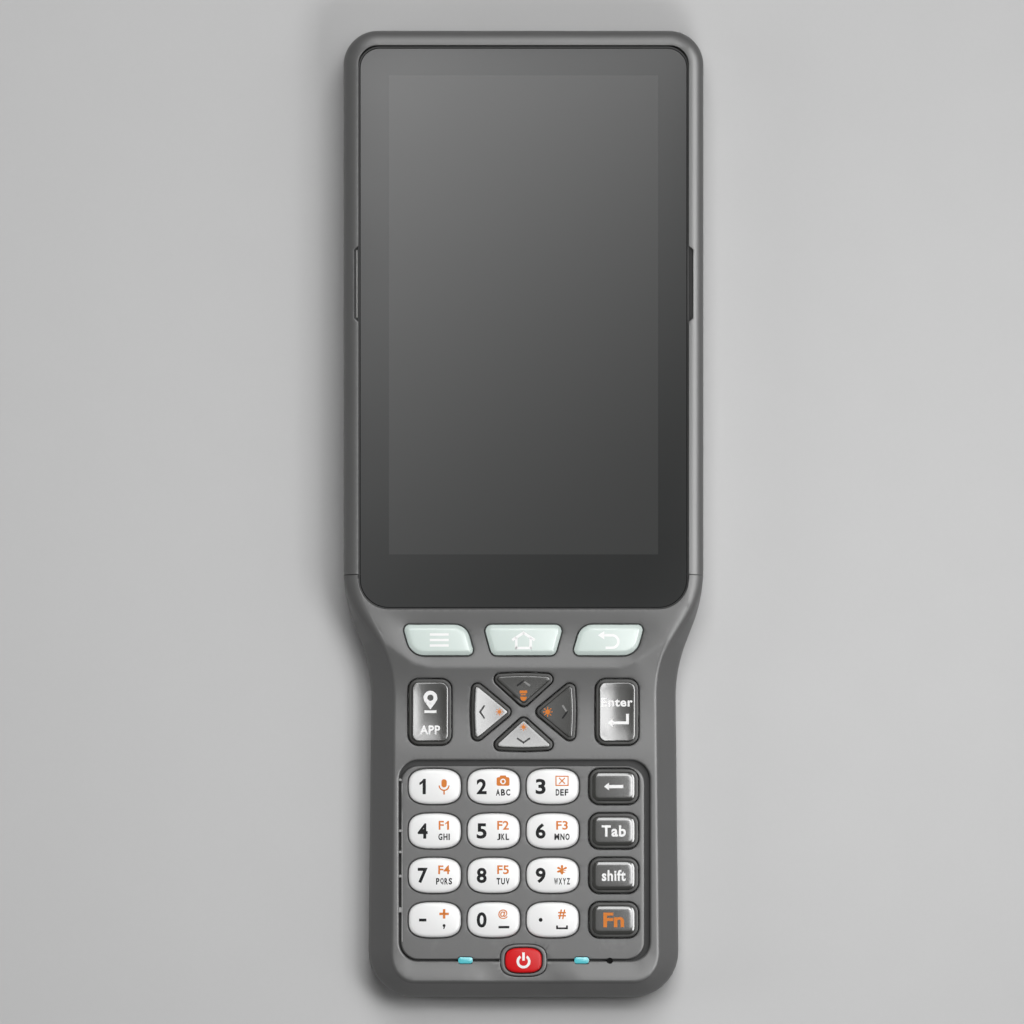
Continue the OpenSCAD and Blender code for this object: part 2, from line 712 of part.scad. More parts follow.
module face_openings() {
  collar_outline(half_gap, inlay_z, front_z + 1);
  for (s = [-1, 1])
    window_shape(s, half_gap, ceiling_z - 2, front_z + 1);
  peg([mic_x, power_y - 0.1], 0.6, ceiling_z - 2, front_z + 1);
}

// room for a side key's flange and switch inside the display ledge
module side_room(s) {
  x0 = panel_w / 2 + panel_gap - 0.5;
  l = side_key_l + 3.4;
  translate([s * (x0 + glass_w / 2 + 1) / 2, side_y, (tray_z1 + side_z + 2.1) / 2])
    cube([glass_w / 2 + 1 - x0, l, side_z + 2.1 - tray_z1], center = true);
}

module grip_room(d, z0, z1) {
  intersection() {
    slab(inset(d), z0, z1);
    block(-80, 80, low_y - 5, keypad_y1 + 0.4, z0 - 1, z1 + 1);
  }
}

module front_housing() {
  color("dimgray")
    difference() {
      union() {
        difference() {
          front_body();
          frame_zone();
          slab(glass_outline(glass_gap), ledge_z, front_z + 5);
          slab(panel_outline(panel_gap), tray_z1, front_z + 5);
          slab(inset(wall), split_z - 1, tray_z0);
          grip_room(wall + 0.9, tray_z0 - 0.5, step_z);
          grip_room(wall + 3.4, step_z - 0.5, ceiling_z);
          slab(lowered_outline, face_z, front_z + 5);
          slab(pocket_outline, inlay_z, front_z + 5);
          for (s = [-1, 1])
            side_room(s);
          for (k = keys)
            if (k[1] == "power")
              slab(key_outline(k, flange_over + key_gap), membrane_z + membrane_t, ceiling_z);
        }
        for (p = screw_spots)
          peg(p, boss_r, split_z, p[2] + 0.5);
        for (p = board_spots)
          peg(p, board_boss_r, dome_z, ceiling_z + 0.5);
        for (p = main_spots)
          peg(p, 1.8, main_z1, tray_z0 + 0.5);
      }
      for (p = screw_spots)
        peg(p, screw_r + running_gap, split_z - 1, screw_tip + 0.2);
      for (p = board_spots)
        peg(p, board_screw_r + running_gap, dome_z - 1, ceiling_z + 0.4);
      for (p = main_spots)
        peg(p, board_screw_r + running_gap, main_z1 - 1, tray_z0 + 0.9);
      key_holes(key_gap, false);
      face_openings();
    }
}

module display_frame() {
  color("gray")
    difference() {
      intersection() {
        front_body();
        block(-80, 80, seam_y + seam_gap, top_y + 10, shoulder_z, front_z + 5);
      }
      slab(glass_outline(glass_gap), shoulder_z - 1, front_z + 5);
      for (s = [-1, 1]) {
        translate([s * (glass_w / 2 + glass_gap + notch_d / 2 - 0.5), side_y, front_z])
          cube([notch_d + 1, notch_l, 2.6], center = true);
        translate([s * half_w, side_y, side_z])
          cube([10, side_key_l + 2 * key_gap, side_key_h + 2 * key_gap], center = true);
      }
    }
}

module rear_housing() {
  color("dimgray")
    difference() {
      union() {
        difference() {
          rear_body();
          slab(inset(wall), back_wall, split_z + 1);
          difference() {
            slab(inset(wall / 2 - gasket_w / 2 - half_gap), split_z - gasket_h, split_z + 1);
            slab(inset(wall / 2 + gasket_w / 2 + half_gap), split_z - gasket_h - 1, split_z + 2);
          }
        }
        for (p = screw_spots)
          peg(p, boss_r, back_wall - 0.5, split_z);
        for (y = strap_y)
          peg([0, y], 3.6, back_wall - 0.5, back_wall + 3.6);
        at_port()
          cover_backing(port_cover_l);
        at_card()
          cover_backing(card_cover_l);
        for (s = [-1, 1])
          peg([s * usb_post_x, usb_board_y + usb_board_l / 2], 1.5, back_wall - 0.5, usb_board_z);
      }
      for (p = screw_spots) {
        peg(p, screw_r + running_gap, -1, split_z + 1);
        peg(p, screw_head_r + half_gap, -1, screw_seat);
      }
      for (y = strap_y)
        peg([0, y], strap_hole_r, -1, back_wall + 2.6);
      at_port() {
        cover_recess(port_cover_l);
        block(-usb_w / 2 - 0.2, usb_w / 2 + 0.2, 1, 12, usb_z - usb_h / 2 - 0.15, usb_z + usb_h / 2);
      }
      at_card() {
        cover_recess(card_cover_l);
        block(-6.4, 6.4, 1, cover_depth + 4, 4.6, 6.1);
      }
      peg(camera_at, window_r + half_gap, -1, window_t + 0.3);
      peg(camera_at, window_r - 1.2, -1, back_wall + 1);
      peg(flash_at, flash_r + half_gap, -1, window_t + 0.3);
      peg(flash_at, flash_r - 0.8, -1, back_wall + 1);
      for (i = [-2:2])
        block(speaker_at[0] - 4.5, speaker_at[0] + 4.5, speaker_at[1] + 1.8 * i - 0.5,
          speaker_at[1] + 1.8 * i + 0.5, -1, back_wall + 1);
    }
}

module housing_gasket() {
  color("black")
    difference() {
      slab(inset(wall / 2 - gasket_w / 2), split_z - gasket_h, split_z);
      slab(inset(wall / 2 + gasket_w / 2), split_z - gasket_h - 1, split_z + 1);
    }
}

module housing_screws() {
  color("silver")
    for (p = screw_spots)
      difference() {
        union() {
          peg(p, screw_head_r, screw_seat - 1.5, screw_seat);
          peg(p, screw_r, screw_seat - 0.5, screw_tip);
        }
        translate([p[0], p[1], screw_seat - 2])
          cylinder(r = 1.1, h = 1.3, $fn = 6);
      }
}

module cover_glass() {
  color("black")
    slab(glass_outline(0), glass_z, glass_z + glass_t);
}

module glass_adhesive() {
  color("darkslategray")
    difference() {
      slab(glass_outline(-0.3), ledge_z, glass_z);
      slab(panel_outline(panel_gap), ledge_z - 1, glass_z + 1);
    }
}

module display_panel() {
  color("midnightblue") {
    slab(panel_outline(0), glass_z - 1.2, glass_z);
    slab(panel_outline(-0.5), panel_z, glass_z - 1);
  }
}

module chassis_plate() {
  color("silver")
    slab(panel_outline(0.2), tray_z1, tray_z1 + plate_t);
}

module keypad_inlay() {
  color("dimgray")
    difference() {
      slab(inlay_outline, inlay_z, inlay_z + inlay_t);
      key_holes(key_gap, true);
      face_openings();
    }
}

module power_collar() {
  color("gray")
    difference() {
      collar_outline(0, inlay_z, face_z + 0.15);
      slab(shifted(pillow(power_w / 2 + key_gap, power_h / 2 + key_gap), [0, power_y]), inlay_z - 1, front_z);
    }
}

module status_windows() {
  color("cyan")
    for (s = [-1, 1]) {
      window_shape(s, 0.5, flange_z, ceiling_z);
      window_shape(s, 0, flange_z, face_z + 0.1);
    }
}

module keypad_membrane() {
  color("lightgray")
    difference() {
      slab(keypad_outline, membrane_z, membrane_z + membrane_t);
      for (p = board_spots)
        peg(p, board_boss_r + 0.3, membrane_z - 1, membrane_z + 2);
      for (s = [-1, 1])
        window_shape(s, 0.3, membrane_z - 1, membrane_z + 2);
      peg([mic_x, power_y - 0.1], 0.8, membrane_z - 1, membrane_z + 2);
    }
}

module dome_switches() {
  color("silver")
    for (k = keys)
      peg(key_middle(k), dome_r, dome_z, dome_z + dome_t);
}

module keypad_board() {
  color("darkgreen")
    difference() {
      slab(keypad_outline, board_z, board_z + board_t);
      for (p = screw_spots)
        peg(p, boss_r + 0.3, board_z - 1, board_z + 3);
      for (p = board_spots)
        peg(p, board_screw_r + half_gap, board_z - 1, board_z + 3);
    }
}

module board_screw(p, z, l) {
  peg(p, 1.4, z - head_h, z);
  peg(p, board_screw_r, z - 0.3, z + l);
}

module board_screws() {
  color("silver") {
    for (p = board_spots)
      board_screw(p, board_z, ceiling_z - board_z);
    for (p = main_spots)
      board_screw(p, main_z0, tray_z0 + 0.7 - main_z0);
  }
}

module main_board() {
  color("darkgreen")
    difference() {
      slab(round_rect(-main_half, main_half, main_y0, main_y1, 2), main_z0, main_z1);
      for (p = main_spots)
        peg(p, board_screw_r + half_gap, main_z0 - 1, main_z1 + 1);
    }
}

module shield_can(x, y, w, l) {
  a = w / 2;
  b = l / 2;
  t = 0.3;
  difference() {
    block(x - a, x + a, y - b, y + b, main_z0 - can_h, main_z0);
    block(x - a + t, x + a - t, y - b + t, y + b - t, main_z0 - can_h + t, main_z0 + 1);
  }
}

module shield_cans() {
  color("silver") {
    shield_can(0, main_y1 - can_top - can_l / 2, can_w, can_l);
    shield_can(can_gap, main_y1 - can_top - can_l - can_gap - can_small / 2, can_small, can_small);
  }
}

module satellite_antenna() {
  color("tan")
    block(-antenna_w / 2, antenna_w / 2, antenna_y - antenna_w / 2, antenna_y + antenna_w / 2,
      main_z0 - antenna_t, main_z0);
}

module camera_module() {
  color("black") {
    peg(camera_at, window_r - 1.6, window_t + 0.4, back_wall + 1);
    slab(shifted(box_points(9, 9), camera_at), back_wall, back_wall + 4.4);
  }
}

module camera_window() {
  color("black")
    peg(camera_at, window_r, 0.3, window_t + 0.3);
}

module flash_window() {
  color("white")
    peg(flash_at, flash_r, 0.3, window_t + 0.3);
}

module speaker() {
  color("black")
    difference() {
      slab(shifted(round_rect(-speaker_l / 2, speaker_l / 2, -speaker_w / 2, speaker_w / 2, 2), speaker_at),
        back_wall, back_wall + 4);
      slab(shifted(round_rect(1 - speaker_l / 2, speaker_l / 2 - 1, 1 - speaker_w / 2, speaker_w / 2 - 1, 1.5),
        speaker_at), back_wall - 1, back_wall + 0.8);
    }
}

module battery_pack() {
  color("black")
    slab(round_rect(-battery_half, battery_half, battery_y0, battery_y0 + battery_l, 3),
      battery_z, battery_z + battery_t);
}

module usb_socket() {
  color("silver")
    translate([0, usb_y, usb_z])
      rotate([-90, 0, 0]) {
        difference() {
          linear_extrude(usb_l)
            polygon(round_rect(-usb_w / 2, usb_w / 2, -usb_h / 2, usb_h / 2, 1.4));
          translate([0, 0, -1])
            linear_extrude(usb_l - 0.4)
              polygon(round_rect(0.3 - usb_w / 2, usb_w / 2 - 0.3, 0.3 - usb_h / 2, usb_h / 2 - 0.3, 1.1));
        }
        translate([-3.35, -0.35, 0.8])
          cube([6.7, 0.7, usb_l - 1.6]);
      }
}

module usb_board() {
  color("darkgreen")
    slab(shifted(box_points(usb_board_w, usb_board_l), [0, usb_board_y + usb_board_l / 2]),
      usb_board_z, usb_board_z + usb_board_t);
}

module port_cover() {
  color("black")
    difference() {
      union() {
        intersection() {
          rear_body();
          at_port()
            cover_blank(port_cover_l);
        }
        at_port()
          cover_barrel(port_cover_l, usb_w + 1);
      }
      at_port()
        hinge_rod(pin_r + running_gap, port_cover_l + 2);
    }
}

module port_cover_pin() {
  color("silver")
    at_port()
      hinge_rod(pin_r, port_cover_l + pin_over);
}

module card_socket() {
  color("silver")
    at_card()
      difference() {
        block(-card_socket_w / 2, card_socket_w / 2, card_in, card_in + card_socket_l, card_z, main_z0);
        block(-card_slot_w / 2, card_slot_w / 2, cover_depth, card_in + card_socket_l - card_end_t,
          card_z + card_slot_up, card_z + card_slot_up + card_slot_h);
      }
}

module card_cover() {
  color("black")
    difference() {
      union() {
        intersection() {
          rear_body();
          at_card()
            cover_blank(card_cover_l);
        }
        at_card()
          cover_barrel(card_cover_l, 12.6);
      }
      at_card()
        hinge_rod(pin_r + running_gap, card_cover_l + 2);
    }
}

module card_cover_pin() {
  color("silver")
    at_card()
      hinge_rod(pin_r, card_cover_l + pin_over);
}

module side_key(s) {
  inner = glass_w / 2 + glass_gap - half_gap;
  outer = half_w - 0.15;
  translate([s * (inner - 0.4 + outer) / 2, side_y, side_z])
    cube([outer - inner + 0.4, side_key_l, side_key_h], center = true);
  translate([s * (inner - 0.4), side_y, side_z])
    cube([0.8, side_key_l + 2, side_key_h + 1.2], center = true);
}

module side_key_left() {
  color("dimgray")
    side_key(-1);
}

module side_key_right() {
  color("dimgray")
    side_key(1);
}

module side_switches() {
  x1 = glass_w / 2 + glass_gap - half_gap - 0.8 - side_travel - dome_gap;
  color("black")
    for (s = [-1, 1])
      translate([s * (x1 - switch_w / 2), side_y, (tray_z1 + side_z + switch_up) / 2])
        cube([switch_w, switch_l, side_z + switch_up - tray_z1], center = true);
}

// all that lies under a plane that falls towards the middle of the arrow pad
module below_slope(k, z) {
  out = k[3] % 180 == 0 ? arrow_h_out : arrow_v_out;
  translate([each k[2], z])
    rotate([0, 0, k[3]])
      translate([out, 0, 0])
        rotate([0, -atan(arrow_slope), 0])
          translate([-20, -15, -12])
            cube([30, 30, 12]);
}

module keycap(k) {
  top = face_at(k) + key_rise;
  crown = k[1] == "soft" ? 70 : k[1] == "power" ? 16 : 26;
  stepped = k[1] == "dark" || k[1] == "tall" || k[1] == "arrow";
  tint = k[1] == "number" ? "white" : k[1] == "soft" ? "honeydew" : k[1] == "power" ? "red" : "darkslategray";
  color(tint) {
    slab(key_outline(k, flange_over), flange_z, flange_z + flange_t);
    if (stepped)
      slab(key_outline(k, 0), flange_z, top - (k[1] == "arrow" ? arrow_drop : skirt_drop));
    if (k[1] == "tall")
      difference() {
        slab(key_outline(k, -skirt), flange_z, top - cap_drop);
        translate([each key_middle(k), top - dish_deep + dish_r])
          sphere(r = dish_r);
      }
    else
      intersection() {
        slab(key_outline(k, stepped ? -skirt : 0), flange_z, top + 1);
        if (k[1] == "arrow")
          below_slope(k, top - cap_drop);
        else
          translate([each key_middle(k), top - crown])
            sphere(r = crown);
      }
  }
}

front_housing();
display_frame();
rear_housing();
housing_gasket();
housing_screws();
cover_glass();
glass_adhesive();
display_panel();
chassis_plate();
keypad_inlay();
power_collar();
status_windows();
keypad_membrane();
dome_switches();
keypad_board();
board_screws();
main_board();
shield_cans();
satellite_antenna();
camera_module();
camera_window();
flash_window();
speaker();
battery_pack();
usb_socket();
usb_board();
port_cover();
port_cover_pin();
card_socket();
card_cover();
card_cover_pin();
side_key_left();
side_key_right();
side_switches();
for (k = keys)
  keycap(k);
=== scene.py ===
import json
import math

import bmesh
import bpy
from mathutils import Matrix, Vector
from mathutils.geometry import delaunay_2d_cdt


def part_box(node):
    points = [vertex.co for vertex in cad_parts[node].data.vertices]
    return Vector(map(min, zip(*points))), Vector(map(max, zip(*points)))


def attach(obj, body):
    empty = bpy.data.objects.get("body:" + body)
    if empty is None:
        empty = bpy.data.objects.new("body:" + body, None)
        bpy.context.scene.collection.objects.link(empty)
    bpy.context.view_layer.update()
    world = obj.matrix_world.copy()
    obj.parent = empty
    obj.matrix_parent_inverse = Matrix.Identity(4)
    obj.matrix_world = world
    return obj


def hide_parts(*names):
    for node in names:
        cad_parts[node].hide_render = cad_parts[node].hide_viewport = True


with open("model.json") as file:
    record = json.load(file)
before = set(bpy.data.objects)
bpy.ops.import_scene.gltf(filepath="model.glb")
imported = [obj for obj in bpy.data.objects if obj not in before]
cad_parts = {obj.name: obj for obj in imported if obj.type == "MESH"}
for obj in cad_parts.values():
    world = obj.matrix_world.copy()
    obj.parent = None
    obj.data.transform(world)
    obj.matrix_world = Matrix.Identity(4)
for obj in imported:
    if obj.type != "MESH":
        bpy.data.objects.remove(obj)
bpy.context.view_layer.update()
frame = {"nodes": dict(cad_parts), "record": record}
mm = 0.001
near = 0.001  # millimetres, for tests of place
print("frame loaded with", len(frame["nodes"]), "nodes")


def boxOf(node):
    low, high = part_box(node)
    return [c / mm for c in low], [c / mm for c in high]


def middleY(node):
    low, high = boxOf(node)
    return (low[1] + high[1]) / 2


rearLow, rearHigh = boxOf("rear_housing")
glassLow, glassHigh = boxOf("cover_glass")
inlayLow, inlayHigh = boxOf("keypad_inlay")
frameLow, frameHigh = boxOf("display_frame")

# sizes in millimetres, seen from the front; places come from the frame where it has them
body = {
    "halfWidth": rearHigh[0], "topY": rearHigh[1], "lowY": rearLow[1],
    "gripHalf": 35.285, "cornerTop": 7.9, "cornerLow": 10.65,
    "waistRadius": 34.7, "waistLean": 21.0, "waistRise": 1.3, "waistRun": 0.2, "gripLean": 0.6,
    "seamGap": 0.2, "splitZ": rearHigh[2], "shoulderZ": frameLow[2],
    "frontZ": frameHigh[2], "faceZ": frameHigh[2] - 0.8,
    "rimRound": 3.2, "ridgeLeft": 5.3, "ridgeRight": 4.6, "ridgeLow": 3.45, "ridgeRound": 1.0,
    "partingRound": 0.25, "sideRise": 2.2, "blendRun": 24.0,
}
body["seamY"] = frameLow[1] - body["seamGap"]
sideKey = {"middleY": middleY("side_key_left"), "length": 16.0, "height": 2.2, "middleZ": 15.28, "gap": 0.25,
           "slotDeep": 2.2, "pastX": 40.0, "notchLength": 17.6, "notchRun": 0.9, "notchDepth": 1.0, "notchZ": 18.7,
           "ribX": 38.54, "ribHalf": 0.13, "ribHigh": 0.22}


def mixed(a, b, t):
    return a + (b - a) * t


def eased(t):
    t = min(max(t, 0.0), 1.0)
    return t * t * (3 - 2 * t)


def heading(angle):
    return math.cos(math.radians(angle)), math.sin(math.radians(angle))


def quarter(count, across, down=None):
    # a quarter round as steps in from the side and down from the top
    turns = [heading(90 * i / count) for i in range(count + 1)]
    return [(across * (1 - c), (down or across) * (1 - s)) for c, s in turns]


def arcRun(centre, radius, angles):
    return [(centre[0] + radius * c, centre[1] + radius * s, c, s) for c, s in map(heading, angles)]


def spread(start, end, step, extra=()):
    count = max(1, round(abs(end - start) / step))
    values = [start + (end - start) * i / count for i in range(count + 1)] + list(extra)
    return sorted(values, reverse=end < start)


# the body's outline as stations (x, y, outward normal), anticlockwise from the middle of the top edge
def bodyStations():
    b, k = body, sideKey
    half, top, low, r = b["halfWidth"], b["topY"], b["lowY"], b["waistRadius"]
    (lc, ls), (gc, gs) = heading(b["waistLean"]), heading(b["gripLean"])
    c0 = (half - r, b["seamY"] + b["waistRise"])
    run = max(((half - b["gripHalf"]) - 2 * r * (1 - lc)) / ls, b["waistRun"])
    bend = (c0[0] + r * lc - run * ls, c0[1] - r * ls - run * lc)
    c1 = (bend[0] + r * lc, bend[1] - r * ls)
    gripTop = (c1[0] - r * gc, c1[1] - r * gs)
    length = (gripTop[1] - low - b["cornerLow"] * (1 + gs)) / gc
    gripEnd = (gripTop[0] + length * gs, gripTop[1] - length * gc)
    lowC = (gripEnd[0] - b["cornerLow"] * gc, gripEnd[1] - b["cornerLow"] * gs)
    b["lowCorner"] = lowC
    topC = (half - b["cornerTop"], top - b["cornerTop"])
    ends = [k["middleY"] + s * (k["notchLength"] / 2 + d) for s in (1, -1) for d in (0, -k["notchRun"])]
    ends += [k["middleY"] + s * (k["length"] / 2 + k["gap"]) for s in (1, -1)]
    seams = [math.degrees(math.asin((y - c0[1]) / r)) for y in (b["seamY"], b["seamY"] + b["seamGap"])]
    right = [(x, top, 0.0, 1.0) for x in spread(0.0, topC[0], 2.0)]
    right += arcRun(topC, b["cornerTop"], spread(90, 0, 5)[1:])
    right += [(half, y, 1.0, 0.0) for y in spread(topC[1], c0[1], 2.0, ends)[1:]]
    right += arcRun(c0, r, spread(0, -b["waistLean"], 1.5, seams)[1:])
    right += arcRun(c1, -r, spread(-b["waistLean"], b["gripLean"], 1.5))
    steps = round(length / 1.5)
    right += [(mixed(gripTop[0], gripEnd[0], i / steps), mixed(gripTop[1], gripEnd[1], i / steps), gc, gs)
              for i in range(1, steps)]
    right += arcRun(lowC, b["cornerLow"], spread(b["gripLean"], -90, 4))
    right += [(x, low, 0.0, -1.0) for x in spread(lowC[0], 0.0, 2.0)[1:]]
    left = [(-x, y, -nx, ny) for x, y, nx, ny in right]
    return left + right[-2:0:-1]


def fromRight(run):
    # the run turned so that it starts at its first station on the right
    start = next(i for i, s in enumerate(run) if s[0] > 0)
    return run[start:] + run[:start]


stations = bodyStations()
lowerRun = [s for s in stations if s[1] <= body["seamY"] + near]
upperRun = fromRight([s for s in stations if s[1] >= body["seamY"] + body["seamGap"] - near])
print("outline has", len(stations), "stations")


# closed outlines, anticlockwise
def roundedLoop(points, radii, steps=8, between=0):
    loop, count = [], len(points)
    for i in range(count):
        a, b, c = (Vector(points[(i + k) % count]) for k in (-1, 0, 1))
        u, v = (a - b).normalized(), (c - b).normalized()
        half = math.acos(max(-1.0, min(1.0, u.dot(v)))) / 2
        r = max(radii[i], 0.02)
        mid = b + (u + v).normalized() * (r / math.sin(half))
        start, end = b + u * (r / math.tan(half)) - mid, b + v * (r / math.tan(half)) - mid
        a0 = math.atan2(start.y, start.x)
        sweep = (math.atan2(end.y, end.x) - a0 + math.pi) % (2 * math.pi) - math.pi
        loop += [(mid.x + r * math.cos(a0 + sweep * k / steps), mid.y + r * math.sin(a0 + sweep * k / steps))
                 for k in range(steps + 1)]
    dense = []
    for i, p in enumerate(loop):
        q = loop[(i + 1) % len(loop)]
        dense.append(p)
        if (i + 1) % (steps + 1) == 0:
            dense += [(mixed(p[0], q[0], k / (between + 1)), mixed(p[1], q[1], k / (between + 1)))
                      for k in range(1, between + 1)]
    return dense


def roundRect(x0, x1, y0, y1, r, steps=8, between=0):
    radii = r if isinstance(r, list) else [r] * 4
    return roundedLoop([(x0, y0), (x1, y0), (x1, y1), (x0, y1)], radii, steps, between)


def centredRect(at, size, d, r, steps=8, between=0):
    (x, y), (w, h) = at, size
    return roundRect(x - w / 2 - d, x + w / 2 + d, y - h / 2 - d, y + h / 2 + d, r + d, steps, between)


def ringLoop(at, r, count):
    turns = [2 * math.pi * i / count for i in range(count)]
    return [(at[0] + r * math.cos(t), at[1] + r * math.sin(t)) for t in turns]


def pillowLoop(a, b, middle, count=56):
    loop = []
    for c, s in ringLoop((0, 0), 1, count):
        loop.append((middle[0] + math.copysign(abs(c) ** (2 / 3), c) * a,
                     middle[1] + math.copysign(abs(s) ** (2 / 3), s) * b))
    return loop


def grown(points, d):
    out, count = [], len(points)
    for i in range(count):
        p, q, r = points[i - 1], points[i], points[(i + 1) % count]
        a = Vector((q[1] - p[1], p[0] - q[0])).normalized()
        b = Vector((r[1] - q[1], q[0] - r[0])).normalized()
        shift = (a + b) * (d / (1 + a.dot(b)))
        out.append((q[0] + shift.x, q[1] + shift.y))
    return out


def inside(loop, x, y):
    hit = False
    for i in range(len(loop)):
        (x0, y0), (x1, y1) = loop[i - 1], loop[i]
        if (y0 > y) != (y1 > y) and x < x0 + (y - y0) * (x1 - x0) / (y1 - y0):
            hit = not hit
    return hit


class Zone:
    # an outline with its box, for quick tests of many points
    def __init__(self, loop):
        self.loop = loop
        self.x = (min(p[0] for p in loop), max(p[0] for p in loop))
        self.y = (min(p[1] for p in loop), max(p[1] for p in loop))

    def holds(self, x, y):
        return self.x[0] < x < self.x[1] and self.y[0] < y < self.y[1] and inside(self.loop, x, y)


def ends(zone, row, i):
    # whether the zone holds each end of a row's step
    return [zone.holds(*row[k % len(row)][:2]) for k in (i, i + 1)]


def atLevel(loop, z):
    return [(x, y, z) for x, y in loop]


def flatAt(z):
    return lambda x, y: z


# surfaces gathered in millimetres, then made into one mesh
def newShell():
    return {"verts": [], "faces": [], "mats": []}


def addFaces(shell, verts, faces, mat):
    base = len(shell["verts"])
    shell["verts"].extend(verts)
    shell["faces"].extend(tuple(base + i for i in face) for face in faces)
    shell["mats"].extend([mat] * len(faces))


def addGrid(shell, rows, closed=True, mat=0, skip=None):
    count, faces = len(rows[0]), []
    for k in range(len(rows) - 1):
        for i in range(count if closed else count - 1):
            if not (skip and skip(k, i)):
                j = (i + 1) % count
                faces.append((k * count + i, k * count + j, (k + 1) * count + j, (k + 1) * count + i))
    addFaces(shell, [p for row in rows for p in row], faces, mat)


def addFan(shell, row, tip, mat=0):
    count = len(row)
    addFaces(shell, row + [tip], [(i, (i + 1) % count, count) for i in range(count)], mat)


def addSheet(shell, outer, holes, heightAt, fill=(), mat=0):
    # a surface over an outline with holes, seen from above
    points, edges = [], []
    for loop in [outer] + holes:
        base = len(points)
        points += [Vector(p) for p in loop]
        edges += [(base + i, base + (i + 1) % len(loop)) for i in range(len(loop))]
    edge, gaps = Zone(outer), [Zone(h) for h in holes]
    points += [Vector(p) for p in fill if edge.holds(*p) and not any(g.holds(*p) for g in gaps)]
    found, _, triangles, _, _, _ = delaunay_2d_cdt(points, edges, [], 0, 1e-5)
    faces = []
    for t in triangles:
        a, b, c = (found[i] for i in t)
        area = (b.x - a.x) * (c.y - a.y) - (b.y - a.y) * (c.x - a.x)
        x, y = (a.x + b.x + c.x) / 3, (a.y + b.y + c.y) / 3
        if abs(area) > 1e-5 and edge.holds(x, y) and not any(g.holds(x, y) for g in gaps):
            faces.append(t if area > 0 else t[::-1])
    addFaces(shell, [(p.x, p.y, heightAt(p.x, p.y)) for p in found], faces, mat)


def linked(name, data):
    made = bpy.data.objects.new(name, data)
    bpy.context.scene.collection.objects.link(made)
    return made


def shaded(name, mesh, angle):
    mesh.shade_smooth()
    mesh.set_sharp_from_angle(angle=math.radians(angle))
    return linked(name, mesh)


def makePiece(name, shell, materials, angle=42, merge=0.002):
    mesh = bpy.data.meshes.new(name)
    mesh.from_pydata([(x * mm, y * mm, z * mm) for x, y, z in shell["verts"]], [], shell["faces"])
    mesh.polygons.foreach_set("material_index", shell["mats"])
    for m in materials:
        mesh.materials.append(m)
    work = bmesh.new()
    work.from_mesh(mesh)
    bmesh.ops.remove_doubles(work, verts=work.verts, dist=merge * mm)
    bmesh.ops.dissolve_degenerate(work, edges=work.edges, dist=1e-7)
    bmesh.ops.delete(work, geom=[v for v in work.verts if not v.link_faces], context="VERTS")
    work.to_mesh(mesh)
    work.free()
    piece = shaded(name, mesh, angle)
    piece.modifiers.new("shading", "WEIGHTED_NORMAL").keep_sharp = True
    return piece


def smoothCopy(name, node, material, bevel, held):
    # a copy of a CAD node, merged, with its hard edges eased and one side held back a little
    mesh = frame["nodes"][node].data.copy()
    mesh.name = name
    mesh.materials.clear()
    mesh.materials.append(material)
    work = bmesh.new()
    work.from_mesh(mesh)
    bmesh.ops.remove_doubles(work, verts=work.verts, dist=0.0005 * mm)
    for v in work.verts if held else ():
        v.co[held[0]] = max(v.co[held[0]], held[1] * mm)
    bmesh.ops.dissolve_limit(work, angle_limit=math.radians(0.6), verts=work.verts, edges=work.edges)
    work.to_mesh(mesh)
    work.free()
    piece = shaded(name, mesh, 30)
    if bevel:
        ease = piece.modifiers.new("edges", "BEVEL")
        ease.width, ease.segments = bevel * mm, 2
        ease.limit_method, ease.angle_limit = "ANGLE", math.radians(45)
    piece.modifiers.new("shading", "WEIGHTED_NORMAL").keep_sharp = True
    return piece


def finishPiece(piece, rides, stands):
    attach(piece, rides)
    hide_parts(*stands)
    return piece


# shader nodes
def setInputs(tree, node, inputs):
    for key, value in inputs.items():
        if isinstance(value, bpy.types.NodeSocket):
            tree.links.new(value, node.inputs[key])
        else:
            node.inputs[key].default_value = value


def addNode(tree, kind, inputs=None, **settings):
    node = tree.nodes.new(kind)
    for key, value in settings.items():
        setattr(node, key, value)
    setInputs(tree, node, inputs or {})
    return node


def maths(tree, operation, *values):
    return addNode(tree, "ShaderNodeMath", dict(enumerate(values)), operation=operation).outputs[0]


def ranged(tree, value, low=0.0, high=1.0, start=0.0, end=1.0):
    return addNode(tree, "ShaderNodeMapRange", {"Value": value, "From Min": low, "From Max": high,
                                                "To Min": start, "To Max": end}).outputs[0]


def objectPlace(tree):
    return addNode(tree, "ShaderNodeTexCoord").outputs["Object"]


def noise(tree, scale, detail, place=None):
    return addNode(tree, "ShaderNodeTexNoise", {"Vector": place or objectPlace(tree), "Scale": scale,
                                                "Detail": detail}).outputs["Fac"]


def blended(tree, mask, a, b):
    return addNode(tree, "ShaderNodeMix", {0: mask, 6: a, 7: b}, data_type="RGBA").outputs[2]


def grouped(tree, group, inputs):
    return addNode(tree, "ShaderNodeGroup", inputs, node_tree=group).outputs


def newGroup(name, inputs, outputs):
    tree = bpy.data.node_groups.new(name, "ShaderNodeTree")
    for label, value in inputs:
        socket = tree.interface.new_socket(label, in_out="INPUT", socket_type="NodeSocketFloat")
        socket.default_value = value
    for label in outputs:
        tree.interface.new_socket(label, in_out="OUTPUT", socket_type="NodeSocketFloat")
    return tree, tree.nodes.new("NodeGroupInput").outputs, tree.nodes.new("NodeGroupOutput")


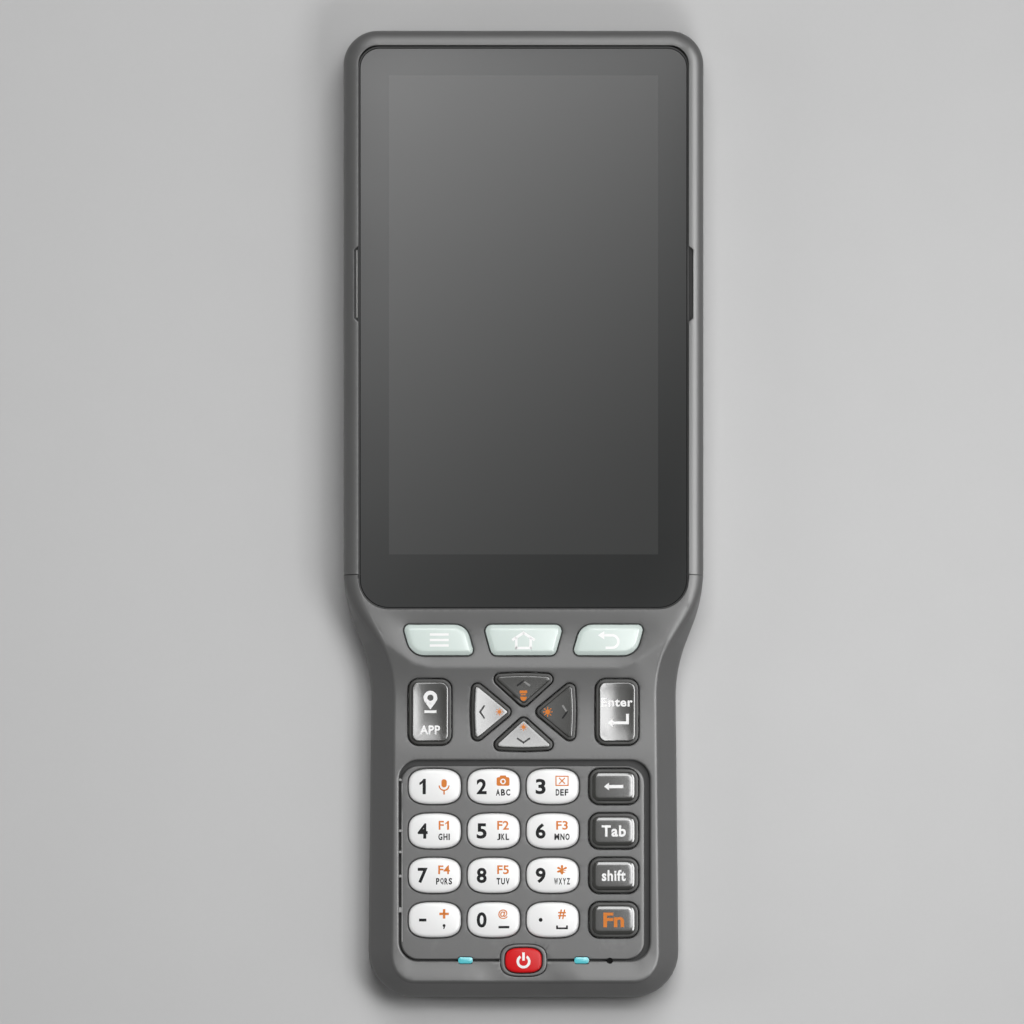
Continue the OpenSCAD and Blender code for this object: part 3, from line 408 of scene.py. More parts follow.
def buildMouldGrain():
    # fine moulded texture, with a slow drift of shade
    tree, source, sink = newGroup("mouldGrain", [("Grain Scale", 4000), ("Mottle", 0.03)], ["Shade", "Height"])
    fine, slow = noise(tree, source["Grain Scale"], 2.0), noise(tree, 90.0, 3.0)
    drift = maths(tree, "SUBTRACT", maths(tree, "ADD", slow, fine), 1.0)
    shade = maths(tree, "ADD", maths(tree, "MULTIPLY", drift, source["Mottle"]), 1.0)
    setInputs(tree, sink, {"Shade": shade, "Height": fine})
    return tree


def buildEdgeWear():
    # a broken mask along convex edges
    tree, source, sink = newGroup("edgeWear", [("Amount", 0.3), ("Break Scale", 700)], ["Mask"])
    bend = addNode(tree, "ShaderNodeNewGeometry").outputs["Pointiness"]
    gate = ranged(tree, noise(tree, source["Break Scale"], 4.0), 0.42, 0.62)
    cut = maths(tree, "MULTIPLY", ranged(tree, bend, 0.52, 0.6), gate)
    setInputs(tree, sink, {"Mask": maths(tree, "MULTIPLY", cut, source["Amount"])})
    return tree


def buildHandling():
    # roughness that drifts where hands and cloths have been
    tree, source, sink = newGroup("handling", [("Rough", 0.4), ("Drift", 0.06), ("Patch Scale", 60)], ["Roughness"])
    centred = maths(tree, "SUBTRACT", noise(tree, source["Patch Scale"], 5.0), 0.5)
    scaled = maths(tree, "MULTIPLY", centred, source["Drift"])
    setInputs(tree, sink, {"Roughness": maths(tree, "ADD", scaled, source["Rough"])})
    return tree


mouldGrain, edgeWear, handling = buildMouldGrain(), buildEdgeWear(), buildHandling()


def newMaterial(name):
    material = bpy.data.materials.new(name)
    material.use_nodes = True
    return material, material.node_tree, material.node_tree.nodes["Principled BSDF"]


def moulded(name, colour, rough, grain=4000, depth=0.04, mottle=0.05, wear=0.0, wornTo=None, specular=0.5,
            drift=0.08, metallic=0.0, coat=0.0):
    material, tree, shader = newMaterial(name)
    texture = grouped(tree, mouldGrain, {"Grain Scale": grain, "Mottle": mottle})
    touch = grouped(tree, handling, {"Rough": rough, "Drift": drift})
    base = addNode(tree, "ShaderNodeVectorMath", {0: colour, "Scale": texture["Shade"]}, operation="SCALE").outputs[0]
    if wear:
        base = blended(tree, grouped(tree, edgeWear, {"Amount": wear})["Mask"], base, (*wornTo, 1.0))
    bump = addNode(tree, "ShaderNodeBump", {"Height": texture["Height"], "Strength": depth, "Distance": 0.0001})
    setInputs(tree, shader, {"Base Color": base, "Roughness": touch["Roughness"], "Normal": bump.outputs["Normal"],
                             "Specular IOR Level": specular, "Metallic": metallic, "Coat Weight": coat})
    return material


finish = {
    "housing": moulded("greyHousing", (0.086, 0.086, 0.085), 0.46, depth=0.10, wear=0.25, wornTo=(0.18, 0.18, 0.18)),
    "frame": moulded("greyFrame", (0.088, 0.088, 0.087), 0.4, depth=0.04, wear=0.25, wornTo=(0.18, 0.18, 0.18)),
    "seal": moulded("blackSeal", (0.028, 0.028, 0.028), 0.7, depth=0.05, specular=0.3),
    "steel": moulded("plainSteel", (0.56, 0.55, 0.54), 0.32, grain=2600, depth=0.08, metallic=1.0, drift=0.2),
    "ceramic": moulded("antennaCeramic", (0.55, 0.46, 0.33), 0.6, grain=3000, depth=0.1),
    "black_plastic": moulded("blackPlastic", (0.022, 0.022, 0.023), 0.45, depth=0.06),
    "diffuser": moulded("milkyDiffuser", (0.8, 0.79, 0.72), 0.3, depth=0.02, mottle=0.02),
    "battery": moulded("batteryWrap", (0.045, 0.046, 0.05), 0.3, depth=0.03, drift=0.15),
    "cover_rubber": moulded("coverRubber", (0.045, 0.045, 0.045), 0.62, depth=0.14, wear=0.2,
                            wornTo=(0.09, 0.09, 0.09)),
    "membrane": moulded("siliconeMat", (0.5, 0.52, 0.52), 0.5, depth=0.05),
    "white_key": moulded("whiteKey", (0.88, 0.88, 0.875), 0.38, depth=0.02, mottle=0.015, drift=0.05),
    "dark_key": moulded("graphiteKey", (0.024, 0.024, 0.021), 0.22, depth=0.002, mottle=0.04, wear=0.15,
                        wornTo=(0.10, 0.10, 0.095), specular=1.0, drift=0.012),
    "pale_key": moulded("paleGreenKey", (0.66, 0.75, 0.71), 0.30, depth=0.02, mottle=0.02),
    "red_key": moulded("redKey", (0.69, 0.009, 0.012), 0.42, depth=0.01, mottle=0.04, specular=0.15),
    "light_window": moulded("cyanWindow", (0.115, 0.60, 0.67), 0.22, depth=0.01, mottle=0.05),
    "panel": moulded("darkPanel", (0.02, 0.021, 0.022), 0.15, depth=0.01),
    "lens": moulded("cameraLens", (0.012, 0.012, 0.016), 0.08, depth=0.005, coat=0.6),
}
# inks, and the small details that have no slot of their own, among them painted shade and painted highlights
ink = {
    "black": moulded("blackInk", (0.012, 0.012, 0.013), 0.5, depth=0.02, specular=0.12),
    "orange": moulded("orangeInk", (0.70, 0.21, 0.030), 0.5, depth=0.02, specular=0.12),
    "white": moulded("whiteInk", (0.92, 0.92, 0.915), 0.5, depth=0.02, mottle=0.01, specular=0.3),
    "grey": moulded("greyInk", (0.06, 0.06, 0.06), 0.5, depth=0.02, specular=0.15),
    # painted light: the pale half of the lit arrow signs
    "soft": moulded("paintedLitInk", (0.20, 0.20, 0.195), 0.45, depth=0.02),
    "icon": moulded("brightIcon", (0.97, 0.97, 0.965), 0.5, depth=0.01, mottle=0.01, specular=0.3),
    # painted shade: the housing floor round the inlay, near-black for the shade in the groove
    "groove": moulded("paintedGrooveShade", (0.020, 0.020, 0.020), 0.6, depth=0.03, specular=0.3),
    # painted highlight: the pale colour for the rib in the left notch only
    "rib": moulded("paintedHighlightRib", (0.42, 0.42, 0.41), 0.35, depth=0.02),
    # painted shade: near-black for the inside of holes and slots
    "hole": moulded("paintedHoleShade", (0.004, 0.004, 0.004), 0.8, depth=0.02, specular=0.05),
    # a rougher copy of the graphite key, its colour darker as painted shade for the skirt's low place
    "skirt": moulded("graphiteSkirtShade", (0.018, 0.018, 0.016), 0.45, depth=0.02, specular=0.35),
    "polished": moulded("polishedCap", (0.028, 0.028, 0.025), 0.15, depth=0.002, mottle=0.04, wear=0.15,
                        wornTo=(0.10, 0.10, 0.095), specular=1.0, drift=0.01),
}
display = {"activeHalf": 31.15, "activeLow": -9.3, "activeHigh": 101.6, "soft": 0.0001,
           "border": (0.0165, 0.0175, 0.0172, 1), "active": (0.036, 0.037, 0.0365, 1), "rough": 0.045}


def buildBoard():
    material, tree, shader = newMaterial("boardMask")
    cells = addNode(tree, "ShaderNodeTexVoronoi", {"Vector": objectPlace(tree), "Scale": 420.0},
                    feature="DISTANCE_TO_EDGE", distance="CHEBYCHEV")
    line = ranged(tree, cells.outputs["Distance"], 0.02, 0.05)
    setInputs(tree, shader, {"Base Color": blended(tree, line, (0.03, 0.17, 0.08, 1), (0.012, 0.075, 0.035, 1)),
                             "Roughness": grouped(tree, handling, {"Rough": 0.35})["Roughness"]})
    return material


def buildGlass():
    # black printed border round the unlit display
    material, tree, shader = newMaterial("displayGlass")
    low, high, soft = display["activeLow"], display["activeHigh"], display["soft"]
    middle, span = (low + high) / 2 * mm, (high - low) / 2 * mm
    centred = addNode(tree, "ShaderNodeMapping", {"Vector": objectPlace(tree), "Location": (0, -middle, 0)})
    axes = addNode(tree, "ShaderNodeSeparateXYZ", {0: centred.outputs[0]}).outputs
    masks = [ranged(tree, maths(tree, "ABSOLUTE", axes[axis]), reach + soft, reach - soft)
             for axis, reach in (("X", display["activeHalf"] * mm), ("Y", span))]
    smudge = grouped(tree, handling, {"Rough": display["rough"], "Drift": 0.03, "Patch Scale": 45})
    base = blended(tree, maths(tree, "MULTIPLY", *masks), display["border"], display["active"])
    setInputs(tree, shader, {"Base Color": base, "Roughness": smudge["Roughness"], "IOR": 1.5})
    return material


def buildRubbedEdge():
    # painted highlight: a pale line broken along the edge, standing in for glints of light on the lip
    material, tree, shader = newMaterial("rubbedEdge")
    along = addNode(tree, "ShaderNodeMapping", {"Vector": objectPlace(tree), "Scale": (0.0, 1.0, 0.0)})
    gate = ranged(tree, noise(tree, 110.0, 2.0, along.outputs[0]), 0.3, 0.5)
    setInputs(tree, shader, {"Base Color": blended(tree, gate, (0.086, 0.086, 0.085, 1), (0.30, 0.30, 0.295, 1)),
                             "Roughness": grouped(tree, handling, {"Rough": 0.42})["Roughness"]})
    return material


finish["circuit_board"], finish["cover_glass"], ink["rubbed"] = buildBoard(), buildGlass(), buildRubbedEdge()
for part in frame["record"]["subparts"]:
    held = frame["nodes"][part["node"]].data.materials
    held.clear()
    held.append(finish[part["material_slot"]])
print("materials made:", len(finish) + len(ink))

# keys: kind, place and turn, as they lie on the front
pad = {
    "softLow": boxOf("key_home")[0][1] + 0.55, "softHigh": 7.1, "softMid": 18.6, "softSide": 14.7, "softSpace": 4.0,
    "softLean": 2.0, "softRound": 1.5, "softSweep": 4.0, "softSweepTop": 3.6, "softTip": 1.25, "softDrop": 0.03,
    "arrowMiddle": middleY("key_app"), "arrowBow": 0.45, "arrowChord": 24.0, "arrowRound": 1.35,
    "arrowSlope": 0.137, "arrowCurve": 0.0042, "arrowDrop": 0.95,
    "tallX": 21.65, "dishDeep": 0.65, "dishAcross": 24.0, "dishAlong": 58.0, "cornerRound": 2.4,
    "columnX": -20.535, "columnPitch": 13.65, "rowY": -63.04, "rowPitch": 10.29, "darkX": 20.885,
    "powerY": middleY("key_power"), "gap": 0.15, "lip": 0.3, "rise": 1.15, "rootZ": 16.3, "edge": 16.35,
    "skirtWidth": 0.75, "skirtDrop": 0.65, "skirtRound": 0.28, "skirtTuck": 0.04, "capDrop": 0.05,
}
keySizes = {"number": (12.1, 8.15), "dark": (11.4, 8.2), "tall": (9.95, 15.3), "power": (8.5, 5.8)}
crowns = {"soft": 90.0, "power": 20.0, "number": 30.0, "dark": 300.0}
# arrow keys that point sideways, then those that point up and down
arrows = ({"tip": 2.2, "out": 12.3, "half": 8, "middle": 0.7, "signAt": 9.55, "sunAt": 5.6},
          {"tip": 0.85, "out": 9.2, "half": 8.75, "middle": 0.68, "signAt": 6.6, "sunAt": 3.5})


def arrowSizes(key):
    return arrows[key["turn"] // 90 % 2]


def newKey(name, kind, at, turn=0):
    key = {"name": name, "kind": kind, "at": at, "turn": turn, "middle": at}
    if kind == "soft":
        key["middle"] = (at[0] + turn * pad["softLean"] / 2, at[1] + pad["softHigh"] / 2)
    if kind == "arrow":
        (c, s), size = heading(turn), arrowSizes(key)
        out = size["middle"] * size["out"]
        key["middle"] = (at[0] + out * c, at[1] + out * s)
    key["top"] = (body["frontZ"] - pad["softDrop"] if kind == "soft" else body["faceZ"]) + pad["rise"]
    return key


def keyList():
    p = pad
    rows = [p["rowY"] - p["rowPitch"] * i for i in range(4)]
    names = ["key_%d" % i for i in range(1, 10)] + ["key_minus", "key_0", "key_dot"]
    made = [newKey(name, "number", (p["columnX"] + p["columnPitch"] * (i % 3), rows[i // 3]))
            for i, name in enumerate(names)]
    made += [newKey(name, "dark", (p["darkX"], y))
             for name, y in zip(("key_backspace", "key_tab", "key_shift", "key_fn"), rows)]
    made += [newKey(name, "arrow", (0, p["arrowMiddle"]), 90 * i)
             for i, name in enumerate(("key_right", "key_up", "key_left", "key_down"))]
    made += [newKey(name, "tall", (side * p["tallX"], p["arrowMiddle"]))
             for side, name in ((-1, "key_app"), (1, "key_enter"))]
    reach = p["softMid"] / 2 + p["softSpace"] + p["softSide"] / 2
    made += [newKey(name, "soft", (side * reach, p["softLow"]), -side)
             for side, name in ((-1, "key_menu"), (0, "key_home"), (1, "key_back"))]
    return made + [newKey("key_power", "power", (0, p["powerY"]))]


def keyLoop(key, d):
    p, kind, turn, (x, y) = pad, key["kind"], key["turn"], key["at"]
    if kind in ("number", "power"):
        w, h = keySizes[kind]
        return pillowLoop(w / 2 + d, h / 2 + d, (x, y))
    if kind in ("dark", "tall"):
        return centredRect((x, y), keySizes[kind], d, p["cornerRound"], 8, 4)
    if kind == "arrow":
        tip, out, half = (arrowSizes(key)[size] for size in ("tip", "out", "half"))
        c, s = (round(v) for v in heading(turn))
        bow, r = p["arrowBow"], p["arrowRound"]
        points = [(tip, 0), (out - bow, -half), (out, 0), (out - bow, half)]
        points = [(px * c - py * s, px * s + py * c) for px, py in points]
        radii = [r, r, p["arrowChord"] / bow, r]
    else:
        w, h, lean = p["softSide"] if turn else p["softMid"], p["softHigh"], p["softLean"]
        foot = (turn * lean - w / 2, turn * lean + w / 2) if turn else (lean - w / 2, w / 2 - lean)
        points = [(foot[0], 0), (foot[1], 0), (w / 2, h), (-w / 2, h)]
        radii = [p["softSweep"], p["softTip"], p["softSweepTop"], p["softTip"]] if turn else [p["softRound"]] * 4
        radii = radii[-1:] + radii[:-1] if turn < 0 else radii
    points = grown([(x + px, y + py) for px, py in points], d)
    return roundedLoop(points, [r + d for r in radii], 8, 6)


keys = keyList()
inlayKeys = [k for k in keys if k["kind"] in ("number", "dark")]
faceKeys = [k for k in keys if k["kind"] in ("arrow", "tall", "soft")]

glass = {"gap": 0.35, "lip": 0.12, "roundTop": 4.6, "roundLow": 6.7, "ledgeZ": 17.8, "chamfer": 0.18,
         "beadIn": 0.03, "beadZ": glassHigh[2] - 0.12, "clear": 4.0}
inlay = {"far": 1.3, "near": 0.4, "round": 4.1, "lowLip": 0.3, "leftLip": 0.46, "rightLip": 0.75, "topLip": 0.2,
         "pocketLip": 0.42, "floorZ": inlayLow[2], "topZ": inlayHigh[2],
         "bridges": ((-61.5, 0.3), (-73.3, 0.32), (-78.2, 0.3), (-83.8, 0.32), (-91.6, 0.6)),
         "bridgeOut": 0.1, "bridgeIn": 0.25, "bridgeRound": 0.2, "bridgeEase": 0.1}
through = {"collar": (5.35, 3.75), "collarRound": 0.3, "collarLip": 0.2, "bite": 0.3, "gap": 0.1,
           "faceLip": 0.12, "inlayLip": 0.1, "windowX": 13.45, "windowSize": (3.4, 1.5), "windowRound": 0.6,
           "windowEdge": 0.15, "micAt": (20.0, pad["powerY"] - 0.1), "micRadius": 0.6}


def glassLoop(d):
    low, top = glass["roundLow"] + d, glass["roundTop"] + d
    return roundRect(glassLow[0] - d, glassHigh[0] + d, glassLow[1] - d, glassHigh[1] + d,
                     [low, low, top, top], 12, 40)


def pocketLoop(d):
    low, high = inlay["near"], inlay["far"]
    return roundRect(inlayLow[0] - low - d, inlayHigh[0] + high + d, inlayLow[1] - low - d, inlayHigh[1] + high + d,
                     inlay["round"] + low + d, 10, 40)


def inlayLoop(t):
    # the plate's outline, drawn in by a share of its lips: wide on the right, narrow above the keys
    left, right, low, top = (t * inlay[side + "Lip"] for side in ("left", "right", "low", "top"))
    return roundRect(inlayLow[0] + left, inlayHigh[0] - right, inlayLow[1] + low, inlayHigh[1] - top,
                     inlay["round"] - low, 10, 40)


def bitten(outline, bite):
    # the outline with what another loop covers cut away
    zone, field = Zone(bite), Zone(outline)
    held = [zone.holds(*p) for p in outline]
    start = next(i for i in range(len(held)) if held[i] and not held[i - 1])
    kept = [p for p in outline[start:] + outline[:start] if not zone.holds(*p)]
    return kept + [p for p in bite if field.holds(*p)][::-1]


def collarLoop(d):
    return pillowLoop(through["collar"][0] + d, through["collar"][1] + d, (0, pad["powerY"]), 72)


def windowLoop(side, d):
    at = (side * through["windowX"], pad["powerY"])
    return centredRect(at, through["windowSize"], d, through["windowRound"], 6)


throughLoops = [lambda d: collarLoop(d + through["gap"])]
throughLoops += [lambda d, side=side: windowLoop(side, d + through["gap"]) for side in (-1, 1)]

padStep = {"rise": 0.8, "valley": 0.95, "valleyRun": 13.0, "valleyPower": 1.25, "dropRun": 10.0, "scoopLow": -45.3,
           "scoopEnd": -56.3, "scoopDeep": 0.75, "fade": 7.0, "rimRun": 5.0,
           "lipRise": 0.68, "lipRun": 4.2, "lipStart": 5.5, "lipGrow": 8.0}
# steps in from the side and away from the shoulder between the frame and the front shell
shoulderEdge = ((0.18, 0.0), (0.05, 0.05), (0.0, 0.2))


# the front's outer profile: a round bead at the display, a sloping facet with a soft ridge at the grip
def partingEdge(side):
    r, z = body["partingRound"], body["splitZ"]
    return [(r, z), (r * 0.3, z + 0.08), (side, z + 0.3)]


def beadProfile():
    low, shoulder, r = body["splitZ"] + body["sideRise"], body["shoulderZ"], body["rimRound"]
    top = body["frontZ"] - r
    points = partingEdge(0) + [(0, z) for z in (low, shoulder, mixed(shoulder, top, 0.5), top)]
    return points + [(r * (1 - c), top + r * s) for c, s in map(heading, range(10, 91, 10))]


def facetProfile(width, lift):
    z0, top, r = body["splitZ"], body["faceZ"] + lift, body["ridgeRound"]
    start, end = Vector((0.3, z0 + body["sideRise"])), Vector((width, top))
    slope = (end - start).normalized()
    bend = math.atan2(slope.y, slope.x)
    cut = r * math.tan(bend / 2)
    last = end - slope * cut
    points = partingEdge(0.02) + [(0.17, z0 + 1.7)]
    points += [tuple(start.lerp(last, t)) for t in (0.08, 0.35, 0.6, 0.82, 1.0)]
    centre = Vector((width + cut, top - r))
    turns = [bend * (1 - i / 7) for i in range(1, 8)]
    return points + [(centre.x - r * math.sin(a), centre.y + r * math.cos(a)) for a in turns]


def gripShare(y):
    return eased((body["seamY"] - y) / body["blendRun"])


def endLift(station):
    p = padStep
    return p["lipRise"] * min(station[3], 0) ** 2 * eased((abs(station[0]) - p["lipStart"]) / p["lipGrow"])


def sideProfile(station):
    x, y, nx, ny = station
    w = gripShare(y)
    width = mixed(body["ridgeLeft"] if x < 0 else body["ridgeRight"], body["ridgeLow"], ny * ny)
    facet = facetProfile(width, endLift(station) + hollow(x - width * nx, y - width * ny, 0.0))
    return [(mixed(a[0], b[0], w), mixed(a[1], b[1], w)) for a, b in zip(beadProfile(), facet)]


def placed(station, point):
    x, y, nx, ny = station
    return (x - point[0] * nx, y - point[0] * ny, point[1])


rimZone = Zone(glassLoop(glass["gap"] + glass["lip"]))


def clipped(station, profile):
    # the profile cut off where it meets the opening for the glass
    x, y, nx, ny = station
    if y < glassLow[1] - glass["clear"]:
        return profile
    reach, steps = profile[-1][0], 80
    limit = next((reach * i / steps for i in range(steps + 1)
                  if rimZone.holds(x - reach * i / steps * nx, y - reach * i / steps * ny)), None)
    if limit is None:
        return profile
    z = next(mixed(a[1], b[1], (limit - a[0]) / (b[0] - a[0])) for a, b in zip(profile, profile[1:])
             if a[0] <= limit <= b[0] + 1e-6 and b[0] > a[0])
    return [(d, h) if d < limit else (limit, z) for d, h in profile]


# the line of the ridge under the three function keys, from left to right
padEdge = [(glassHigh[0], glassLow[1] + 4.4), (33.2, glassLow[1] - 7.4), (25.8, -34.365), (21.8, -35.465)]
padEdge = [(60.0, body["seamY"] - 1)] + padEdge
padEdge = [(-x, y) for x, y in padEdge] + padEdge[::-1]


def ridgeGap(x, y):
    # distance from the ridge between the two hollows, less than zero below it
    gap, level = 1e9, 0.0
    for (x0, y0), (x1, y1) in zip(padEdge, padEdge[1:]):
        t = min(max(((x - x0) * (x1 - x0) + (y - y0) * (y1 - y0)) / ((x1 - x0) ** 2 + (y1 - y0) ** 2), 0), 1)
        gap = min(gap, math.hypot(x - mixed(x0, x1, t), y - mixed(y0, y1, t)))
        if x0 <= x <= x1:
            level = mixed(y0, y1, (x - x0) / (x1 - x0))
    return gap if y > level else -gap


def glassGap(x, y):
    edge = glass["gap"] + glass["lip"]
    r = glass["roundLow"] + edge
    qx = abs(x) - glassHigh[0] - edge + r
    qy = abs(y - (glassLow[1] + glassHigh[1]) / 2) - (glassHigh[1] - glassLow[1]) / 2 - edge + r
    return max(math.hypot(max(qx, 0), max(qy, 0)) + min(max(qx, qy), 0) - r, 0)


def hollow(x, y, inner):
    # height over the grip's face: a shallow valley below the glass, then a ridge and a scoop round the arrow pad
    p, gap = padStep, ridgeGap(x, y)
    if gap > 0:
        span = gap + glassGap(x, y)
        deep = p["valley"] * min(span / p["valleyRun"], 1) ** 2 * inner
        return p["rise"] - deep * max(math.sin(math.pi * gap / span), 0.0) ** p["valleyPower"]
    level = p["rise"] - (p["rise"] + p["scoopDeep"]) * math.sin(math.pi / 2 * min(-gap / p["dropRun"], 1))
    return level + p["scoopDeep"] * eased((p["scoopLow"] - y) / (p["scoopLow"] - p["scoopEnd"]))


runProfiles = [clipped(s, sideProfile(s)) for s in lowerRun]
ringEnds = [placed(s, p[-1])[:2] for s, p in zip(lowerRun, runProfiles)]


def faceHeight(x, y):
    best = min(range(len(lowerRun)), key=lambda i: (lowerRun[i][0] - x) ** 2 + (lowerRun[i][1] - y) ** 2)
    sx, sy, nx, ny = lowerRun[best]
    reach = (sx - x) * nx + (sy - y) * ny
    profile = runProfiles[best]
    if reach < profile[-1][0] - 0.01:
        for a, b in zip(profile[6:], profile[7:]):
            if a[0] <= reach <= b[0] and b[0] > a[0]:
                return mixed(a[1], b[1], (reach - a[0]) / (b[0] - a[0]))
    past = reach - profile[-1][0]
    rim = (1 - gripShare(sy)) * (1 - eased(past / padStep["rimRun"]))
    lift = endLift(lowerRun[best]) * (1 - eased(past / padStep["lipRun"]))
    level = hollow(x, y, eased(past / padStep["fade"]))
    return body["faceZ"] + mixed(level, padStep["rise"], rim) + lift


def holeRows(loopAt, gap, lip, heightAt, floor):
    rows = [[(x, y, heightAt(x, y) - drop) for x, y in loopAt(gap + d)] for drop, d in quarter(3, lip)]
    return rows + [atLevel(loopAt(gap), floor)]


def faceFill():
    # a staggered field of points, closer together along the ridge
    points = [(i * 1.25 + (0.31 if j % 2 else -0.31), j * 1.2) for i in range(-28, 29) for j in range(-90, -15)]
    for (x0, y0), (x1, y1) in zip(padEdge[1:], padEdge[2:-1]):
        n = Vector((y0 - y1, x1 - x0)).normalized()
        count = max(2, round(math.hypot(x1 - x0, y1 - y0)))
        for k in range(count):
            x, y = (mixed(a, b, (k + 0.5) / count) for a, b in ((x0, x1), (y0, y1)))
            points += [(x + n.x * d, y + n.y * d) for d in (-1.0, -0.6, -0.2, 0.2, 0.6, 1.0)]
    return points


def addEnds(shell, run, profiles, first, turned):
    # flat ends of an open run, down to the shoulder
    for end in (0, -1):
        profile = profiles[end][first:]
        cut = [placed(run[end], p) for p in profile + [(profile[-1][0], body["shoulderZ"])]]
        addFaces(shell, cut[::-1] if end == turned else cut, [range(len(cut))], 0)


def profileRows(run, profiles):
    return [[placed(s, p[k]) for s, p in zip(run, profiles)] for k in range(len(profiles[0]))]


def buildFrontShell():
    shell, face, floor, shoulder = newShell(), body["faceZ"], inlay["floorZ"], body["shoulderZ"]
    addGrid(shell, profileRows(lowerRun, runProfiles), closed=False)
    band = partingEdge(0) + [(0, body["splitZ"] + body["sideRise"])]
    band += [(d, shoulder - h) for d, h in shoulderEdge[::-1]] + [(2.6, shoulder)]
    seam = fromRight([s for s in stations if body["seamY"] - near <= s[1]])
    addGrid(shell, [[placed(s, p) for s in seam] for p in band], closed=False)
    addEnds(shell, lowerRun, runProfiles, 4, 0)
    sunkLoop, lip = pocketLoop(inlay["pocketLip"]), through["faceLip"]
    openings = [loop(lip) for loop in throughLoops]
    holes = [keyLoop(k, pad["gap"] + pad["lip"]) for k in faceKeys] + [sunkLoop] + openings
    addSheet(shell, ringEnds, holes + [glassLoop(glass["gap"] + glass["lip"])], faceHeight, faceFill())
    for key in faceKeys:
        addGrid(shell, holeRows(lambda d: keyLoop(key, d), pad["gap"], pad["lip"], faceHeight, pad["edge"]))
    blocked, sunk = [Zone(loop) for loop in openings], Zone(sunkLoop)
    rows = holeRows(pocketLoop, 0.0, inlay["pocketLip"], flatAt(face), floor)
    addGrid(shell, rows, skip=lambda k, i: any(all(ends(z, rows[0], i)) for z in blocked))
    for loop in throughLoops:
        edge = holeRows(loop, 0.0, lip, flatAt(face), floor)
        addGrid(shell, edge, skip=lambda k, i: all(ends(sunk, edge[0], i)))
    # the pocket floor takes the painted groove shade
    addSheet(shell, bitten(pocketLoop(0.0), collarLoop(-through["bite"])),
             [keyLoop(k, pad["gap"]) for k in inlayKeys], flatAt(floor), mat=3)
    # the mic hole is closed by a near-black disc at the face: painted shade for its depth
    micSteps = ((0.12, floor), (0.12, face), (0.06, face + 0.05), (0.0, face + 0.05), (-0.1, face + 0.02))
    mic = [atLevel(ringLoop(through["micAt"], through["micRadius"] + d, 24), z) for d, z in micSteps]
    addGrid(shell, mic, mat=1)
    addFan(shell, mic[-1], (*through["micAt"], face + 0.02), mat=1)
    rim = holeRows(glassLoop, glass["gap"], glass["lip"], faceHeight, glass["ledgeZ"])
    low = [i for i in range(len(rim[0])) if rim[0][i][1] <= body["seamY"] + 0.6]
    start = next(i for i in low if (i - 1) % len(rim[0]) not in low)
    order = [(start + k) % len(rim[0]) for k in range(len(low))]
    addGrid(shell, [[row[i] for i in order] for row in rim], closed=False)
    beadSteps = ((glass["gap"], glass["beadZ"]), (glass["beadIn"], glass["beadZ"]), (glass["beadIn"], glass["ledgeZ"]))
    addGrid(shell, [atLevel(glassLoop(d), z) for d, z in beadSteps], mat=2)
    return makePiece("frontShell", shell, [finish["housing"], ink["hole"], finish["seal"], ink["groove"]])


frontShell = finishPiece(buildFrontShell(), "housing", ["front_housing"])
print("front shell:", len(frontShell.data.polygons), "faces")


def buildDisplayFrame():
    shell, k, lip = newShell(), sideKey, glass["lip"]
    slotLow, slotHigh = (k["middleZ"] + s * (k["height"] / 2) + s * k["gap"] for s in (-1, 1))
    slotHalf = k["length"] / 2 + k["gap"]
    wall = body["halfWidth"] - glassHigh[0] - glass["gap"]
    r, base, shoulder = body["rimRound"], body["frontZ"] - body["rimRound"], body["shoulderZ"]

    def profile(station):
        away = abs(station[1] - k["middleY"])
        depth = k["notchDepth"] if abs(station[0]) > k["pastX"] else 0
        inner = wall - depth * (1 - eased((away - k["notchLength"] / 2 + k["notchRun"]) / k["notchRun"]))
        points = [(d, shoulder + h) for d, h in shoulderEdge] + [(0, slotLow), (0, slotHigh), (0, base)]
        end = inner - lip
        last = math.acos(1 - end / r)
        points += [(r * (1 - math.cos(last * i / 9)), base + r * math.sin(last * i / 9)) for i in range(1, 10)]
        top = points[-1][1]
        points += [(end + lip * s, top - lip * (1 - c)) for c, s in map(heading, (30, 60, 90))]
        return points + [(inner, k["notchZ"]), (wall, k["notchZ"]), (wall, glass["ledgeZ"])]

    def slotted(row, i):
        pair = (upperRun[i], upperRun[(i + 1) % len(upperRun)])
        return row == 3 and all(abs(s[1] - k["middleY"]) < slotHalf + 0.01 and abs(s[0]) > k["pastX"] for s in pair)

    rings = [profile(s) for s in upperRun]
    rows = profileRows(upperRun, rings)
    addGrid(shell, rows[:-2], closed=False, skip=slotted)
    addGrid(shell, rows[-3:], closed=False, mat=2)
    for side in (-1, 1):
        y0, y1 = k["middleY"] - slotHalf, k["middleY"] + slotHalf
        loop = [(y0, slotLow), (y1, slotLow), (y1, slotHigh), (y0, slotHigh)][::side]
        # the slot walls are near-black: painted shade in the slot
        addGrid(shell, [[(side * (body["halfWidth"] - d), y, z) for y, z in loop] for d in (0, k["slotDeep"])], mat=1)
        x, top, half = side * k["ribX"], k["notchZ"] + k["ribHigh"], k["notchLength"] / 2 - 1.0
        rib = [(x + a * k["ribHalf"] * side, top - drop)
               for a, drop in ((1, 0.25), (1, 0.1), (0.6, 0), (-0.6, 0), (-1, 0.1), (-1, 0.25))]
        # painted highlight: the left rib is pale, the right one takes the black seal
        addGrid(shell, [[(px, k["middleY"] + t * half, z) for t in (-side, side)] for px, z in rib],
                closed=False, mat=3 if side < 0 else 2)
    addEnds(shell, upperRun, rings, 0, -1)
    return makePiece("displayFrame", shell, [finish["frame"], ink["hole"], finish["seal"], ink["rib"]])


